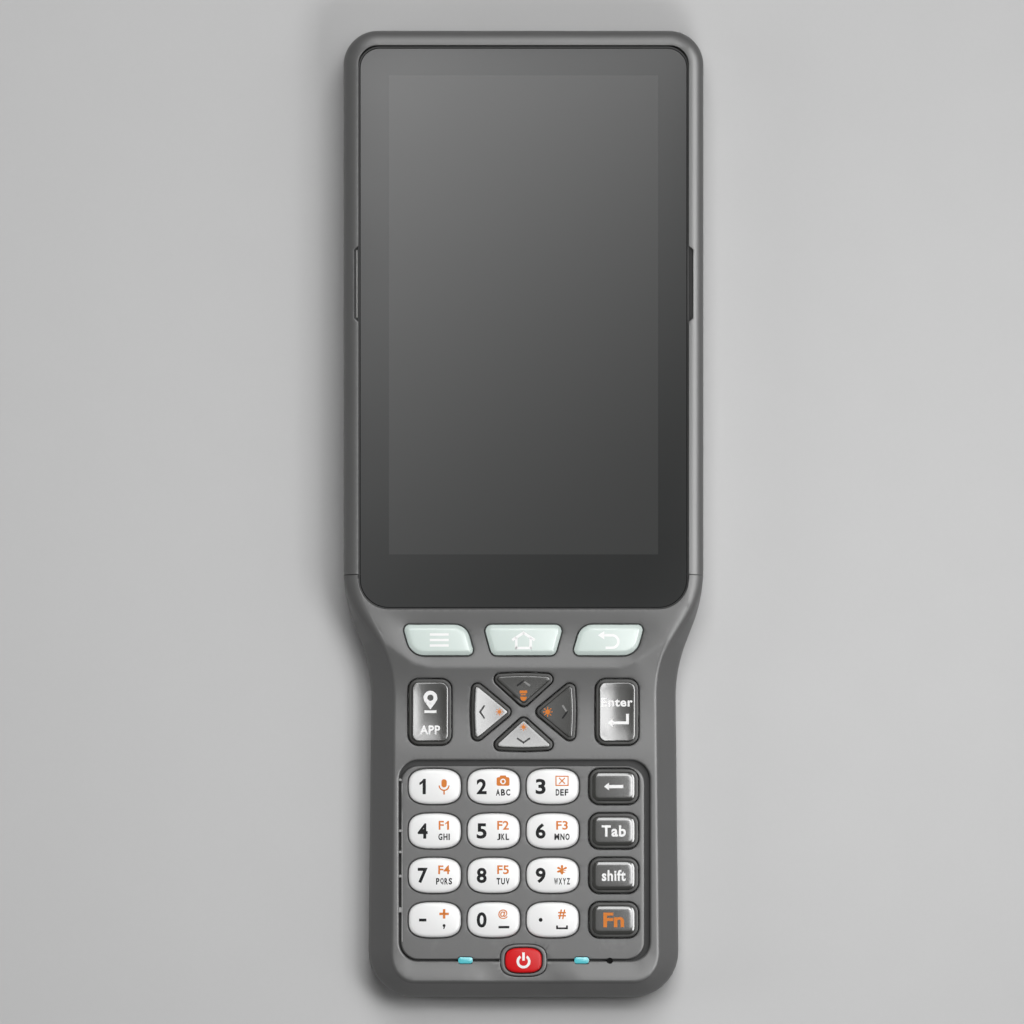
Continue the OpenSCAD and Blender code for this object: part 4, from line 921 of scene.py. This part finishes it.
displayFrame = finishPiece(buildDisplayFrame(), "housing", ["display_frame"])
print("display frame:", len(displayFrame.data.polygons), "faces")


def buildGlassPlate():
    shell, top, chamfer = newShell(), glassHigh[2], glass["chamfer"]
    steps = ((0, glassLow[2]), (0, top - chamfer), (-chamfer, top))
    addGrid(shell, [atLevel(glassLoop(d), z) for d, z in steps])
    addSheet(shell, glassLoop(-chamfer), [], flatAt(top))
    return makePiece("glassPlate", shell, [finish["cover_glass"]], angle=20)


def buildInlayPlate():
    shell, top, floor, lip = newShell(), inlay["topZ"], inlay["floorZ"], inlay["lowLip"]
    steps = [(t, top - lip * down) for t, down in quarter(3, 1)]
    edge = [atLevel(inlayLoop(t), z) for t, z in [(0, floor)] + steps]
    openings = [loop(through["inlayLip"]) for loop in throughLoops]
    blocked = [Zone(loop) for loop in openings]
    # painted highlight: the plate's left lip takes the pale broken glint colour
    glintSide = [p[0] < inlayLow[0] + inlay["leftLip"] + 0.01 for p in edge[-1]]
    rubbed = [glintSide[i] and glintSide[i + 1 - len(glintSide)] for i in range(len(glintSide))]
    addGrid(shell, edge, skip=lambda k, i: k == 3 and rubbed[i] or any(all(ends(z, edge[-1], i)) for z in blocked))
    addGrid(shell, edge[3:], mat=1, skip=lambda k, i: not rubbed[i])
    x0, x1 = inlayLow[0] - inlay["near"] - inlay["bridgeOut"], inlayLow[0] + inlay["bridgeIn"]
    ease = inlay["bridgeEase"]
    for y, half in inlay["bridges"]:  # small ribs over the left groove
        rib = [atLevel(roundRect(x0 + d, x1 - d, y - half + d, y + half - d, inlay["bridgeRound"] - d, 4), z)
               for d, z in ((0.0, floor), (0.0, top - ease), (ease, top))]
        # the ribs carry the painted highlight colour as well
        addGrid(shell, rib, mat=1)
        addFan(shell, rib[-1], ((x0 + x1) / 2, y, top), mat=1)
    addSheet(shell, inlayLoop(1), [keyLoop(k, pad["gap"] + lip) for k in inlayKeys] + openings, flatAt(top))
    for key in inlayKeys:
        addGrid(shell, holeRows(lambda d: keyLoop(key, d), pad["gap"], lip, flatAt(top), floor))
    plate = Zone(inlayLoop(1))
    for loop in throughLoops:
        rows = holeRows(loop, 0.0, through["inlayLip"], flatAt(top), floor)
        addGrid(shell, rows, skip=lambda k, i: not any(ends(plate, rows[0], i)))
    return makePiece("inlayPlate", shell, [finish["housing"], ink["rubbed"]])


def buildPowerCollar():
    shell, floor, lip = newShell(), inlay["floorZ"], through["collarLip"]
    top, (w, h) = boxOf("power_collar")[1][2], keySizes["power"]
    steps = [(-d, top - drop) for d, drop in quarter(3, through["collarRound"])]
    rows = [atLevel(collarLoop(d), z) for d, z in [(0, floor)] + steps]
    addGrid(shell, rows)
    inner = lambda d: pillowLoop(w / 2 + d, h / 2 + d, (0, pad["powerY"]), 72)
    addGrid(shell, [rows[-1], atLevel(inner(pad["gap"] + lip), top)])
    addGrid(shell, holeRows(inner, pad["gap"], lip, flatAt(top), floor))
    return makePiece("powerCollar", shell, [finish["housing"]])


def buildStatusWindows():
    shell = newShell()
    low, high = (c[2] for c in boxOf("status_windows"))
    steps = [(0, low)] + [(-d, high - drop) for d, drop in quarter(2, through["windowEdge"])]
    for side in (-1, 1):
        rows = [atLevel(windowLoop(side, d), z) for d, z in steps]
        addGrid(shell, rows)
        addFan(shell, rows[-1], (side * through["windowX"], pad["powerY"], high))
    return makePiece("statusWindows", shell, [finish["light_window"]], angle=40)


finishPiece(buildGlassPlate(), "housing", ["cover_glass"])
finishPiece(buildInlayPlate(), "housing", ["keypad_inlay"])
finishPiece(buildPowerCollar(), "housing", ["power_collar"])
finishPiece(buildStatusWindows(), "housing", ["status_windows"])
print("face plates made")

# printed legends: flat shapes in millimetres round a key's own place
oneWidth = 0.56
oneShape = [[(0.27, 0), (0.56, 0), (0.56, 1), (0.34, 1), (0.27, 0.92)],
            [(0, 0.58), (0.28, 0.72), (0.28, 0.94), (0.16, 0.83), (0, 0.76)]]


def textShape(words, height, width, bold=0.0, at=(0, 0)):
    if words == "1":
        return [[(at[0] + (x / oneWidth - 0.5) * width, at[1] + (y - 0.5) * height) for x, y in part]
                for part in oneShape]
    if words == "F1":
        return (textShape("F", height, width * 0.46, bold, (at[0] - width * 0.25, at[1]))
                + textShape("1", height, width * 0.34, 0, (at[0] + width * 0.27, at[1])))
    curve = bpy.data.curves.new("legend", "FONT")
    curve.body, curve.size, curve.offset, curve.resolution_u = words, 1.0, bold, 4
    curve.space_character = 1.1 if len(words) > 2 else 1.0
    holder = linked("legend", curve)
    graph = bpy.context.evaluated_depsgraph_get()
    mesh = bpy.data.meshes.new_from_object(holder.evaluated_get(graph))
    xs, ys = [v.co.x for v in mesh.vertices], [v.co.y for v in mesh.vertices]
    cx, cy = (min(xs) + max(xs)) / 2, (min(ys) + max(ys)) / 2
    sx, sy = width / (max(xs) - min(xs)), height / (max(ys) - min(ys))
    shape = [[(at[0] + (xs[i] - cx) * sx, at[1] + (ys[i] - cy) * sy) for i in p.vertices] for p in mesh.polygons]
    bpy.data.objects.remove(holder)
    bpy.data.curves.remove(curve)
    bpy.data.meshes.remove(mesh)
    return shape


def barShape(x0, x1, y0, y1):
    return [[(x0, y0), (x1, y0), (x1, y1), (x0, y1)]]


def strokeShape(points, width, closed=False):
    shape, n = [], len(points)
    for i in range(n if closed else n - 1):
        a, b = Vector(points[i]), Vector(points[(i + 1) % n])
        u = (b - a).normalized() * (width / 2)
        v = Vector((-u.y, u.x))
        shape.append([tuple(a - u - v), tuple(b + u - v), tuple(b + u + v), tuple(a - u + v)])
    return shape


def ringShape(at, r0, r1, start=0, end=360, steps=28):
    shape = []
    for i in range(steps):
        a, b = (heading(start + (end - start) * k / steps) for k in (i, i + 1))
        shape.append([(at[0] + r * c, at[1] + r * s) for r, (c, s) in ((r1, a), (r1, b), (r0, b), (r0, a))])
    return shape


def discShape(at, r):
    return [ringLoop(at, r, 24)]


def sunShape(at, r):
    shape = discShape(at, r * 0.52)
    for c, s in map(heading, range(0, 360, 45)):
        shape += strokeShape([(at[0] + r * far * c, at[1] + r * far * s) for far in (0.72, 0.92)], r * 0.2)
    return shape


numberPrint = {"digitX": -2.8, "digitHigh": 3.55, "digitWide": 2.3, "oneWide": 1.45, "sideX": 2.15, "upperY": 1.32,
               "lowerY": -1.35, "upperHigh": 2.05, "signHigh": 2.2, "lowerHigh": 1.5, "letterSpace": 0.24}
digits = {"key_%d" % i: str(i) for i in range(10)}
upper = {"key_4": ("F1", 2.6), "key_5": ("F2", 2.7), "key_6": ("F3", 2.7), "key_7": ("F4", 2.7), "key_8": ("F5", 2.7),
         "key_9": ("*", 2.3), "key_0": ("@", 2.2), "key_dot": ("#", 1.8)}
lower = {"key_2": ("ABC", 3.3), "key_3": ("DEF", 2.9), "key_4": ("GHI", 2.65), "key_5": ("JKL", 2.8),
         "key_6": ("MNO", 3.5), "key_7": ("PQRS", 3.7), "key_8": ("TUV", 3.0), "key_9": ("WXYZ", 3.7)}


def spelled(words, height, width, at):
    # letters set one by one, so that each keeps its own width
    shares = [{"I": 0.32, "M": 1.2, "W": 1.25}.get(c, 1.0) for c in words]
    space = numberPrint["letterSpace"]
    unit = width / (sum(shares) + space * (len(words) - 1))
    shape, x = [], at[0] - width / 2
    for letter, share in zip(words, shares):
        shape += textShape(letter, height, unit * share, 0.035, (x + unit * share / 2, at[1]))
        x += unit * (share + space)
    return shape


def numberSigns(name, mark, x, y):
    # what is drawn rather than set in letters
    if name == "key_1":
        capsule = roundRect(x - 0.62, x + 0.62, -0.2, 1.7, 0.6, 8)
        stand = ringShape((x, 0.25), 0.98, 1.28, 180, 360, 16) + barShape(x - 0.17, x + 0.17, -1.85, -0.9)
        return [("orange", [capsule] + stand)]
    if name == "key_2":
        case = roundRect(x - 1.5, x + 1.5, y - 1.15, y + 0.85, 0.4, 5)
        hump = [(x - 0.85, y + 0.8), (x + 0.85, y + 0.8), (x + 0.6, y + 1.25), (x - 0.6, y + 1.25)]
        return [("orange", [case, hump]), ("white", ringShape((x, y - 0.15), 0.36, 0.66))]
    if name == "key_3":
        box = barShape(x - 1.4, x + 1.4, y - 1.05, y + 1.05)[0]
        cross = [strokeShape([(x - 0.6, y - rise), (x + 0.6, y + rise)], 0.26) for rise in (0.6, -0.6)]
        return [("orange", strokeShape(box, 0.26, True) + cross[0] + cross[1])]
    if name == "key_minus":
        comma = discShape((x, -1.3), 0.33) + [[(x - 0.05, -1.4), (x - 0.22, -2.1), (x + 0.05, -2.1), (x + 0.33, -1.3)]]
        plus = barShape(x - 1.1, x + 1.1, y - 0.2, y + 0.36) + barShape(x - 0.28, x + 0.28, y - 1.02, y + 1.18)
        return [("black", barShape(mark - 0.85, mark + 0.85, -0.36, 0.3) + comma), ("orange", plus)]
    if name == "key_0":
        return [("black", barShape(x - 1.05, x + 1.45, -1.95, -1.4))]
    if name == "key_dot":
        tray = [(x - 1.15, -1.5), (x - 1.15, -1.95), (x + 1.15, -1.95), (x + 1.15, -1.5)]
        return [("black", discShape((mark, 0), 0.44) + strokeShape(tray, 0.42))]
    return []


def numberLegend(key):
    p, name, prints = numberPrint, key["name"], []
    if name in digits:
        wide = p["oneWide" if name == "key_1" else "digitWide"]
        prints.append(("black", textShape(digits[name], p["digitHigh"], wide, 0.03, (p["digitX"], 0))))
    if name in upper:
        words, wide = upper[name]
        high = p["signHigh" if words in "*@#" else "upperHigh"]
        prints.append(("orange", textShape(words, high, wide, 0.02, (p["sideX"], p["upperY"]))))
    if name in lower:
        words, wide = lower[name]
        prints.append(("black", spelled(words, p["lowerHigh"], wide, (p["sideX"], p["lowerY"]))))
    return prints + numberSigns(name, p["digitX"], p["sideX"], p["upperY"])


def darkLegend(key):
    if key["name"] == "key_backspace":
        return [("white", barShape(-1.2, 2.2, -0.37, 0.37) + [[(-2.25, 0), (-1.1, -0.85), (-1.1, 0.85)]])]
    words, wide, high, colour = {"key_tab": ("Tab", 5.6, 2.65, "white"), "key_shift": ("shift", 5.5, 2.6, "white"),
                                 "key_fn": ("Fn", 4.8, 3.4, "orange")}[key["name"]]
    return [(colour, textShape(words, high, wide, 0.03))]


def arrowLegend(key):
    name, size, (c, s) = key["name"], arrowSizes(key), heading(key["turn"])
    place = lambda px, py: (px * c - py * s, px * s + py * c)
    bend = [place(size["signAt"] + out, side) for out, side in ((-0.42, 1.35), (0.5, 0), (-0.42, -1.35))]
    prints = [("grey", strokeShape(bend, 0.42))]
    # painted light: one half of the sign in pale grey ink as if lit, the other in black as if shaded
    if name in ("key_right", "key_up"):  # one half of the sign is lit
        lit, dim = (bend[:2], bend[1:]) if name == "key_right" else (bend[1:], bend[:2])
        prints = [("soft", strokeShape(lit, 0.42)), ("black", strokeShape(dim, 0.42))]
    if name == "key_up":
        bowl = [(-0.85, 3.5), (-0.5, 2.75), (0, 2.5), (0.5, 2.75), (0.85, 3.5)]
        return prints + [("orange", barShape(-0.85, 0.85, 4.3, 4.95) + barShape(-0.6, 0.6, 3.85, 4.1) + [bowl])]
    return prints + [("orange", sunShape(place(size["sunAt"], 0), 1.1 if name == "key_right" else 0.85))]


def tallLegend(key):
    if key["name"] == "key_app":
        (x, y), hole = (0.1, 3.3), 0.72
        tail = [(x - 1.33, y - 0.9), (x, y - 2.75), (x + 1.33, y - 0.9), (x, y - hole - 0.45)]
        pin = ringShape((x, y), hole, 1.6) + [tail] + barShape(-1.3, 1.5, -0.25, 0.35)
        return [("white", pin + textShape("APP", 2.05, 4.7, 0.03, (0, -4.15)))]
    arrow = barShape(-1.2, 2.75, -2.85, -2.2) + barShape(2.1, 2.75, -2.2, -0.45)
    arrow += [[(-2.2, -2.52), (-1.05, -3.5), (-1.05, -1.55)]]
    return [("white", textShape("Enter", 2.05, 7.3, 0.03, (0, 2.25)) + arrow)]


def softLegend(key):
    if key["name"] == "key_menu":
        return [("icon", sum((barShape(-2.05, 2.35, y - 0.28, y + 0.28) for y in (1.27, 0, -1.27)), []))]
    if key["name"] == "key_home":
        roof = strokeShape([(-2.35, 0.15), (0, 1.65), (2.35, 0.15)], 0.6)
        return [("icon", roof + strokeShape([(-1.65, 0.35), (-1.65, -1.85), (1.65, -1.85), (1.65, 0.35)], 0.6))]
    x = -0.15
    bow = ringShape((x + 1.0, -0.35), 1.15, 1.75, -90, 90, 18)
    bars = barShape(x - 0.9, x + 1.0, 0.8, 1.4) + barShape(x - 0.5, x + 1.0, -2.1, -1.5)
    return [("icon", bow + bars + [[(x - 2.3, 1.1), (x - 0.8, 0.15), (x - 0.8, 2.05)]])]


def powerLegend(key):
    return [("white", ringShape((0, -0.25), 1.02, 1.62, 122, 418, 32) + barShape(-0.3, 0.3, -0.05, 1.85))]


def addPrint(shell, shape, origin, heightAt, mat, lift, cell=0.9):
    # a flat shape cut into small cells and laid on a curved top
    work = bmesh.new()
    for polygon in shape:
        try:
            work.faces.new([work.verts.new((x + origin[0], y + origin[1], 0)) for x, y in polygon])
        except ValueError:
            pass
    for axis, normal in enumerate((Vector((1, 0, 0)), Vector((0, 1, 0)))):
        values = [v.co[axis] for v in work.verts]
        for k in range(math.floor(min(values) / cell), math.ceil(max(values) / cell) + 1):
            geom = work.verts[:] + work.edges[:] + work.faces[:]
            bmesh.ops.bisect_plane(work, geom=geom, plane_co=normal * (k * cell), plane_no=normal)
    bmesh.ops.triangulate(work, faces=work.faces[:])
    work.verts.index_update()
    faces = [[v.index for v in face.verts][::1 if face.normal.z > 0 else -1] for face in work.faces]
    addFaces(shell, [(v.co.x, v.co.y, heightAt(v.co.x, v.co.y) + lift) for v in work.verts], faces, mat)
    work.free()


def crownHeight(key):
    # most caps are domed; the tall ones are dished and the arrows slope down to the middle of the pad
    (cx, cy), top, kind = key["middle"], key["top"], key["kind"]
    high = top - pad["capDrop"]
    if kind == "tall":
        floor, across, along = top - pad["dishDeep"], 2 * pad["dishAcross"], 2 * pad["dishAlong"]
        return lambda x, y: min(high, floor + (x - cx) ** 2 / across + (y - cy) ** 2 / along)
    if kind == "arrow":
        (c, s), (ax, ay), out = heading(key["turn"]), key["at"], arrowSizes(key)["out"]
        far = lambda x, y: out - (x - ax) * c - (y - ay) * s
        return lambda x, y: high - pad["arrowSlope"] * far(x, y) + pad["arrowCurve"] * far(x, y) ** 2
    r = crowns[kind]
    return lambda x, y: top - r + math.sqrt(max(r * r - (x - cx) ** 2 - (y - cy) ** 2, 1.0))


# the cap's edge as steps in from its side and down from its top
capEdge = {"number": quarter(5, 0.8, 0.64), "power": quarter(5, 0.6, 0.5), "dark": quarter(5, 1.0, 0.42),
           "tall": quarter(5, 0.4, 0.3), "arrow": quarter(5, 0.22),
           "soft": [(0, 0.78), (0.04, 0.68), (0.14, 0.56), (0.78, 0.14), (0.95, 0.04), (1.15, 0.0)]}
capRings = (1.0, 0.86, 0.7, 0.52, 0.34, 0.16)
printLift = {"first": 0.02, "over": 0.008}
legends = {"number": numberLegend, "dark": darkLegend, "arrow": arrowLegend, "tall": tallLegend, "soft": softLegend,
           "power": powerLegend}


def buildKey(key):
    shell, name, kind, cap = newShell(), key["name"], key["kind"], crownHeight(key)
    stepped = kind in ("dark", "tall", "arrow")
    inset, edge = pad["skirtWidth"] if stepped else 0.0, capEdge[kind]
    rows = [atLevel(keyLoop(key, 0), pad["rootZ"])]
    caps = [[(x, y, cap(x, y) - drop) for x, y in keyLoop(key, -inset - d)] for d, drop in edge]
    if stepped:
        top = key["top"] - pad["arrowDrop" if kind == "arrow" else "skirtDrop"]
        rows += [atLevel(keyLoop(key, -d), top - drop) for d, drop in quarter(3, pad["skirtRound"])]
        rows.append(atLevel(keyLoop(key, -inset + pad["skirtTuck"]), top))
        addGrid(shell, rows + [caps[0]])
        addGrid(shell, caps, mat=1)
    else:
        addGrid(shell, rows + caps, mat=1)
    (cx, cy), rim = key["middle"], keyLoop(key, -inset - edge[-1][0])
    rings = [[(mixed(cx, x, share), mixed(cy, y, share)) for x, y in rim] for share in capRings]
    rings = [[(x, y, cap(x, y)) for x, y in ring] for ring in rings]
    addGrid(shell, rings, mat=1)
    addFan(shell, rings[-1], (cx, cy, cap(cx, cy)), mat=1)
    origin = key["middle"] if kind == "soft" else key["at"]
    slot = {"number": "white_key", "soft": "pale_key", "power": "red_key"}.get(kind, "dark_key")
    # stepped keys take the darker skirt colour below the cap: painted shade
    materials = [ink["skirt"] if stepped else finish[slot], ink["polished"] if kind == "dark" else finish[slot]]
    for colour, shape in legends[kind](key):
        if ink[colour] not in materials:
            materials.append(ink[colour])
        over = len(materials) - 3 if colour == "white" and kind == "number" else 0
        addPrint(shell, shape, origin, cap, materials.index(ink[colour]), printLift["first"] + printLift["over"] * over)
    words = name.split("_")
    piece = makePiece(words[0] + "".join(w.capitalize() for w in words[1:]), shell, materials, angle=50, merge=0.0005)
    finishPiece(piece, name, [name])


for key in keys:
    buildKey(key)
print("keys made:", len(keys))

# rear shell, side keys and covers follow their CAD solids: node, name, body, slot, eased edge and the side held back
coverBack = 0.04
copies = (("rear_housing", "rearShell", "housing", "housing", 0.0, None),
          ("side_key_left", "sideKeyLeft", "side_key_left", "frame", 0.25, None),
          ("side_key_right", "sideKeyRight", "side_key_right", "frame", 0.25, None),
          ("port_cover", "portCover", "port_cover", "cover_rubber", 0.12, (1, body["lowY"] + coverBack)),
          ("card_cover", "cardCover", "card_cover", "cover_rubber", 0.12, (0, -body["halfWidth"] + coverBack)))
for node, name, rides, slot, bevel, held in copies:
    finishPiece(smoothCopy(name, node, finish[slot], bevel, held), rides, [node])
print("rear shell, covers and side keys made")

screw = {"Head Radius": 2.1, "Head Height": 1.5, "Recess Radius": 1.05, "Recess Depth": 0.9, "Shank Radius": 1.25,
         "Shank Length": 0.0}
screwAt = {"sideIn": 8.15, "topDrops": (16, 82), "gripIn": 5.6, "gripDrop": 4.2, "cornerOut": 4.8, "cornerDrop": 0.9}


def buildScrewTree():
    tree = bpy.data.node_groups.new("backScrews", "GeometryNodeTree")
    sockets = [("Spots", "INPUT", "Geometry")] + [(label, "INPUT", "Float") for label in screw]
    for label, way, kind in sockets + [("Finish", "INPUT", "Material"), ("Screws", "OUTPUT", "Geometry")]:
        tree.interface.new_socket(label, in_out=way, socket_type="NodeSocket" + kind)
    source, sink = tree.nodes.new("NodeGroupInput").outputs, tree.nodes.new("NodeGroupOutput")

    def add(kind, inputs=None, **settings):
        return addNode(tree, "GeometryNode" + kind, inputs, **settings)

    def cylinder(part, across, long):
        return add("MeshCylinder", {"Vertices": part, "Radius": source[across], "Depth": source[long]}).outputs["Mesh"]

    def lifted(shape, height):
        shift = addNode(tree, "ShaderNodeCombineXYZ", {"Z": height})
        return add("Transform", {"Geometry": shape, "Translation": shift.outputs[0]}).outputs[0]

    def joined(first, second):
        both = add("JoinGeometry", {0: first})
        tree.links.new(second, both.inputs[0])
        return both.outputs[0]

    head = cylinder(40, "Head Radius", "Head Height")
    star = add("CurveStar", {"Points": 6, "Outer Radius": source["Recess Radius"],
                             "Inner Radius": maths(tree, "MULTIPLY", source["Recess Radius"], 0.68)})
    flat = add("FillCurve", {"Curve": star.outputs["Curve"]}).outputs["Mesh"]
    twice = maths(tree, "MULTIPLY", source["Recess Depth"], 2.0)
    prism = add("ExtrudeMesh", {"Mesh": flat, "Offset Scale": twice, "Individual": False}).outputs["Mesh"]
    closed = joined(prism, add("FlipFaces", {"Mesh": flat}).outputs["Mesh"])
    sealed = add("MergeByDistance", {"Geometry": closed, "Distance": 1e-7}).outputs[0]
    deep = maths(tree, "SUBTRACT", maths(tree, "MULTIPLY", source["Head Height"], 0.5), source["Recess Depth"])
    cut = add("MeshBoolean", {"Mesh 1": head, "Mesh 2": lifted(sealed, deep)}, operation="DIFFERENCE")
    shank = cylinder(24, "Shank Radius", "Shank Length")
    stem = lifted(shank, maths(tree, "MULTIPLY", source["Shank Length"], -0.5))
    whole = joined(cut.outputs["Mesh"], stem)
    spread = add("InstanceOnPoints", {"Points": source["Spots"], "Instance": whole, "Rotation": (math.pi, 0.0, 0.0)})
    real = add("RealizeInstances", {"Geometry": spread.outputs["Instances"]})
    coat = add("SetMaterial", {"Geometry": real.outputs[0], "Material": source["Finish"]})
    tree.links.new(coat.outputs[0], sink.inputs["Screws"])
    return tree


def buildScrews():
    b, at, (low, high) = body, screwAt, boxOf("housing_screws")
    spots = [(b["halfWidth"] - at["sideIn"], b["topY"] - drop) for drop in at["topDrops"]]
    spots += [(b["gripHalf"] - at["gripIn"], pad["arrowMiddle"] - at["gripDrop"]),
              (b["lowCorner"][0] + at["cornerOut"], b["lowY"] + b["cornerLow"] - at["cornerDrop"])]
    mesh = bpy.data.meshes.new("screwSpots")
    z = low[2] + screw["Head Height"] / 2
    mesh.from_pydata([(s * x * mm, y * mm, z * mm) for x, y in spots for s in (-1, 1)], [], [])
    holder = linked("screwSpots", mesh)
    maker = holder.modifiers.new("screws", "NODES")
    maker.node_group = buildScrewTree()
    screw["Shank Length"] = high[2] - z
    for socket in maker.node_group.interface.items_tree:
        if socket.name in screw:
            maker[socket.identifier] = screw[socket.name] * mm
        elif socket.name == "Finish":
            maker[socket.identifier] = finish["steel"]
    graph = bpy.context.evaluated_depsgraph_get()
    made = bpy.data.meshes.new_from_object(holder.evaluated_get(graph))
    holder.modifiers.remove(maker)
    bpy.data.objects.remove(holder)
    made.name = "housingScrews"
    return shaded("housingScrews", made, 35)


finishPiece(buildScrews(), "housing", ["housing_screws"])
print("screws made")

# stage, light and camera, in metres
shot = {"scale": 0.2315, "middleX": -11.5, "middleY": 2.2, "pixels": 1024, "far": 8.0}
floorAt = {"half": 3, "z": -0.0002}
card = {"z": 1.5, "margin": 4, "lean": -0.75, "start": -0.041, "end": 0.13, "curve": 1.7, "low": 0.42, "high": 5.1}
shade = {"low": glassHigh[2] + 0.3, "high": 0.17, "lean": 1.045, "glow": 0.4}
ambient = 0.06


def addStage(name, corners, material, glossOnly=True):
    mesh = bpy.data.meshes.new(name)
    mesh.from_pydata(corners, [], [(0, 1, 2, 3)])
    mesh.materials.append(material)
    made = linked(name, mesh)
    if glossOnly:
        made.visible_camera = made.visible_diffuse = made.visible_shadow = made.visible_transmission = False


def glowing(name):
    material, tree, _ = newMaterial(name)
    tree.nodes.clear()
    light = addNode(tree, "ShaderNodeEmission")
    addNode(tree, "ShaderNodeOutputMaterial", {"Surface": light.outputs[0]})
    return material, tree, light


def buildFloor():
    half, z = floorAt["half"], floorAt["z"]
    pale = moulded("paleFloor", (0.56, 0.56, 0.56), 0.7, grain=900, depth=0.01, mottle=0.02)
    addStage("floor", [(-half, -half, z), (half, -half, z), (half, half, z), (-half, half, z)], pale, glossOnly=False)


def buildDisplayCard():
    # a graded reflector above the display, seen only in gloss
    z, wider = card["z"], 1 + card["z"] / shot["far"]
    (x0, y0), (x1, y1) = ([(c + side * card["margin"]) * mm * wider for c in corner[:2]]
                          for side, corner in ((-1, glassLow), (1, glassHigh)))
    material, tree, light = glowing("cardGlow")
    axes = addNode(tree, "ShaderNodeSeparateXYZ", {0: objectPlace(tree)}).outputs
    along = maths(tree, "ADD", axes["Y"], maths(tree, "MULTIPLY", axes["X"], card["lean"]))
    share = ranged(tree, along, card["start"] * wider, card["end"] * wider)
    curve = maths(tree, "POWER", share, card["curve"])
    setInputs(tree, light, {"Strength": ranged(tree, curve, start=card["low"], end=card["high"])})
    addStage("displayCard", [(x0, y0, z), (x0, y1, z), (x1, y1, z), (x1, y0, z)], material)


def buildCards():
    # upright cards seen only in gloss: bright ones, dark flags, and shades that keep the bright ones out of the glass
    x0, x1, y0, y1 = (c * mm for c in (glassLow[0] - 90, glassHigh[0] + 0.3, glassLow[1], glassHigh[1] + 0.3))
    shadeZ = (shade["low"] * mm, shade["high"])
    cards = (("rightCard", "x", 0.4, (-0.35, 0.35), (0.2, 0.75), 11.5, 1),
             ("leftFlag", "x", -0.4, (-0.45, 0.45), (0.03, 1.7), 0.25, 1),
             ("lowFlag", "y", -0.45, (-0.4, 0.4), (0.03, 1.7), 0.25, 1),
             ("topCard", "y", 0.5, (-0.15, 0.15), (0.25, 0.8), 5.8, 1),
             ("rightShade", "x", x1, (y0, y1), shadeZ, shade["glow"], shade["lean"]),
             ("topShade", "y", y1, (x0, x1), shadeZ, shade["glow"], shade["lean"]))
    for name, axis, at, (start, end), (low, high), glow, lean in cards:
        material, tree, light = glowing(name)
        setInputs(tree, light, {"Strength": glow})
        corners = [(at, start, low), (at, end, low), (at * lean, end * lean, high), (at * lean, start * lean, high)]
        addStage(name, corners if axis == "x" else [(y, x, z) for x, y, z in corners], material)


def buildLamps():
    (upC, upS), (sideC, sideS), aimZ = heading(22.0), heading(16.8), 0.015
    lamps = (("overhead", Vector((math.radians(3.0), upS, upC)) * 1.2, (0, 0, aimZ), 7.8, (0.5, 0.68)),
             ("side", Vector((sideS, -0.15, sideC)) * 0.33, (0, -0.05, aimZ), 0.37, (0.105, 0.105)),
             ("fill", Vector((-0.85, -0.02, 0.45)), (0, -0.02, aimZ), 1.4, (0.5, 0.6)))
    for name, at, target, power, (across, along) in lamps:
        lamp = bpy.data.lights.new(name, "AREA")
        lamp.energy, lamp.shape, lamp.size, lamp.size_y = power, "RECTANGLE", across, along
        holder = linked(name, lamp)
        holder.location = at
        holder.rotation_euler = (Vector(target) - at).to_track_quat("-Z", "Y").to_euler()


def buildWorld():
    # white where it is seen, dim where it lights
    world = bpy.data.worlds.new("studio")
    world.use_nodes = True
    tree = world.node_tree
    tree.nodes.clear()
    path = addNode(tree, "ShaderNodeLightPath").outputs
    seen = maths(tree, "MAXIMUM", path["Is Camera Ray"], path["Is Glossy Ray"])
    clear = maths(tree, "MAXIMUM", seen, path["Is Transmission Ray"])
    sky = addNode(tree, "ShaderNodeBackground", {"Color": (1, 1, 1, 1), "Strength": ranged(tree, clear, start=ambient)})
    addNode(tree, "ShaderNodeOutputWorld", {"Surface": sky.outputs[0]})
    bpy.context.scene.world = world


def buildCamera():
    camera, scale = bpy.data.cameras.new("camera"), shot["scale"] * mm
    camera.lens = camera.sensor_width * shot["far"] / (shot["pixels"] * scale)
    holder = linked("camera", camera)
    holder.location = (shot["middleX"] * scale, shot["middleY"] * scale, shot["far"] + body["faceZ"] * mm)
    bpy.context.scene.camera = holder


buildFloor()
buildDisplayCard()
buildCards()
buildLamps()
buildWorld()
buildCamera()
bpy.context.scene.view_settings.view_transform = "Standard"
print("stage set")
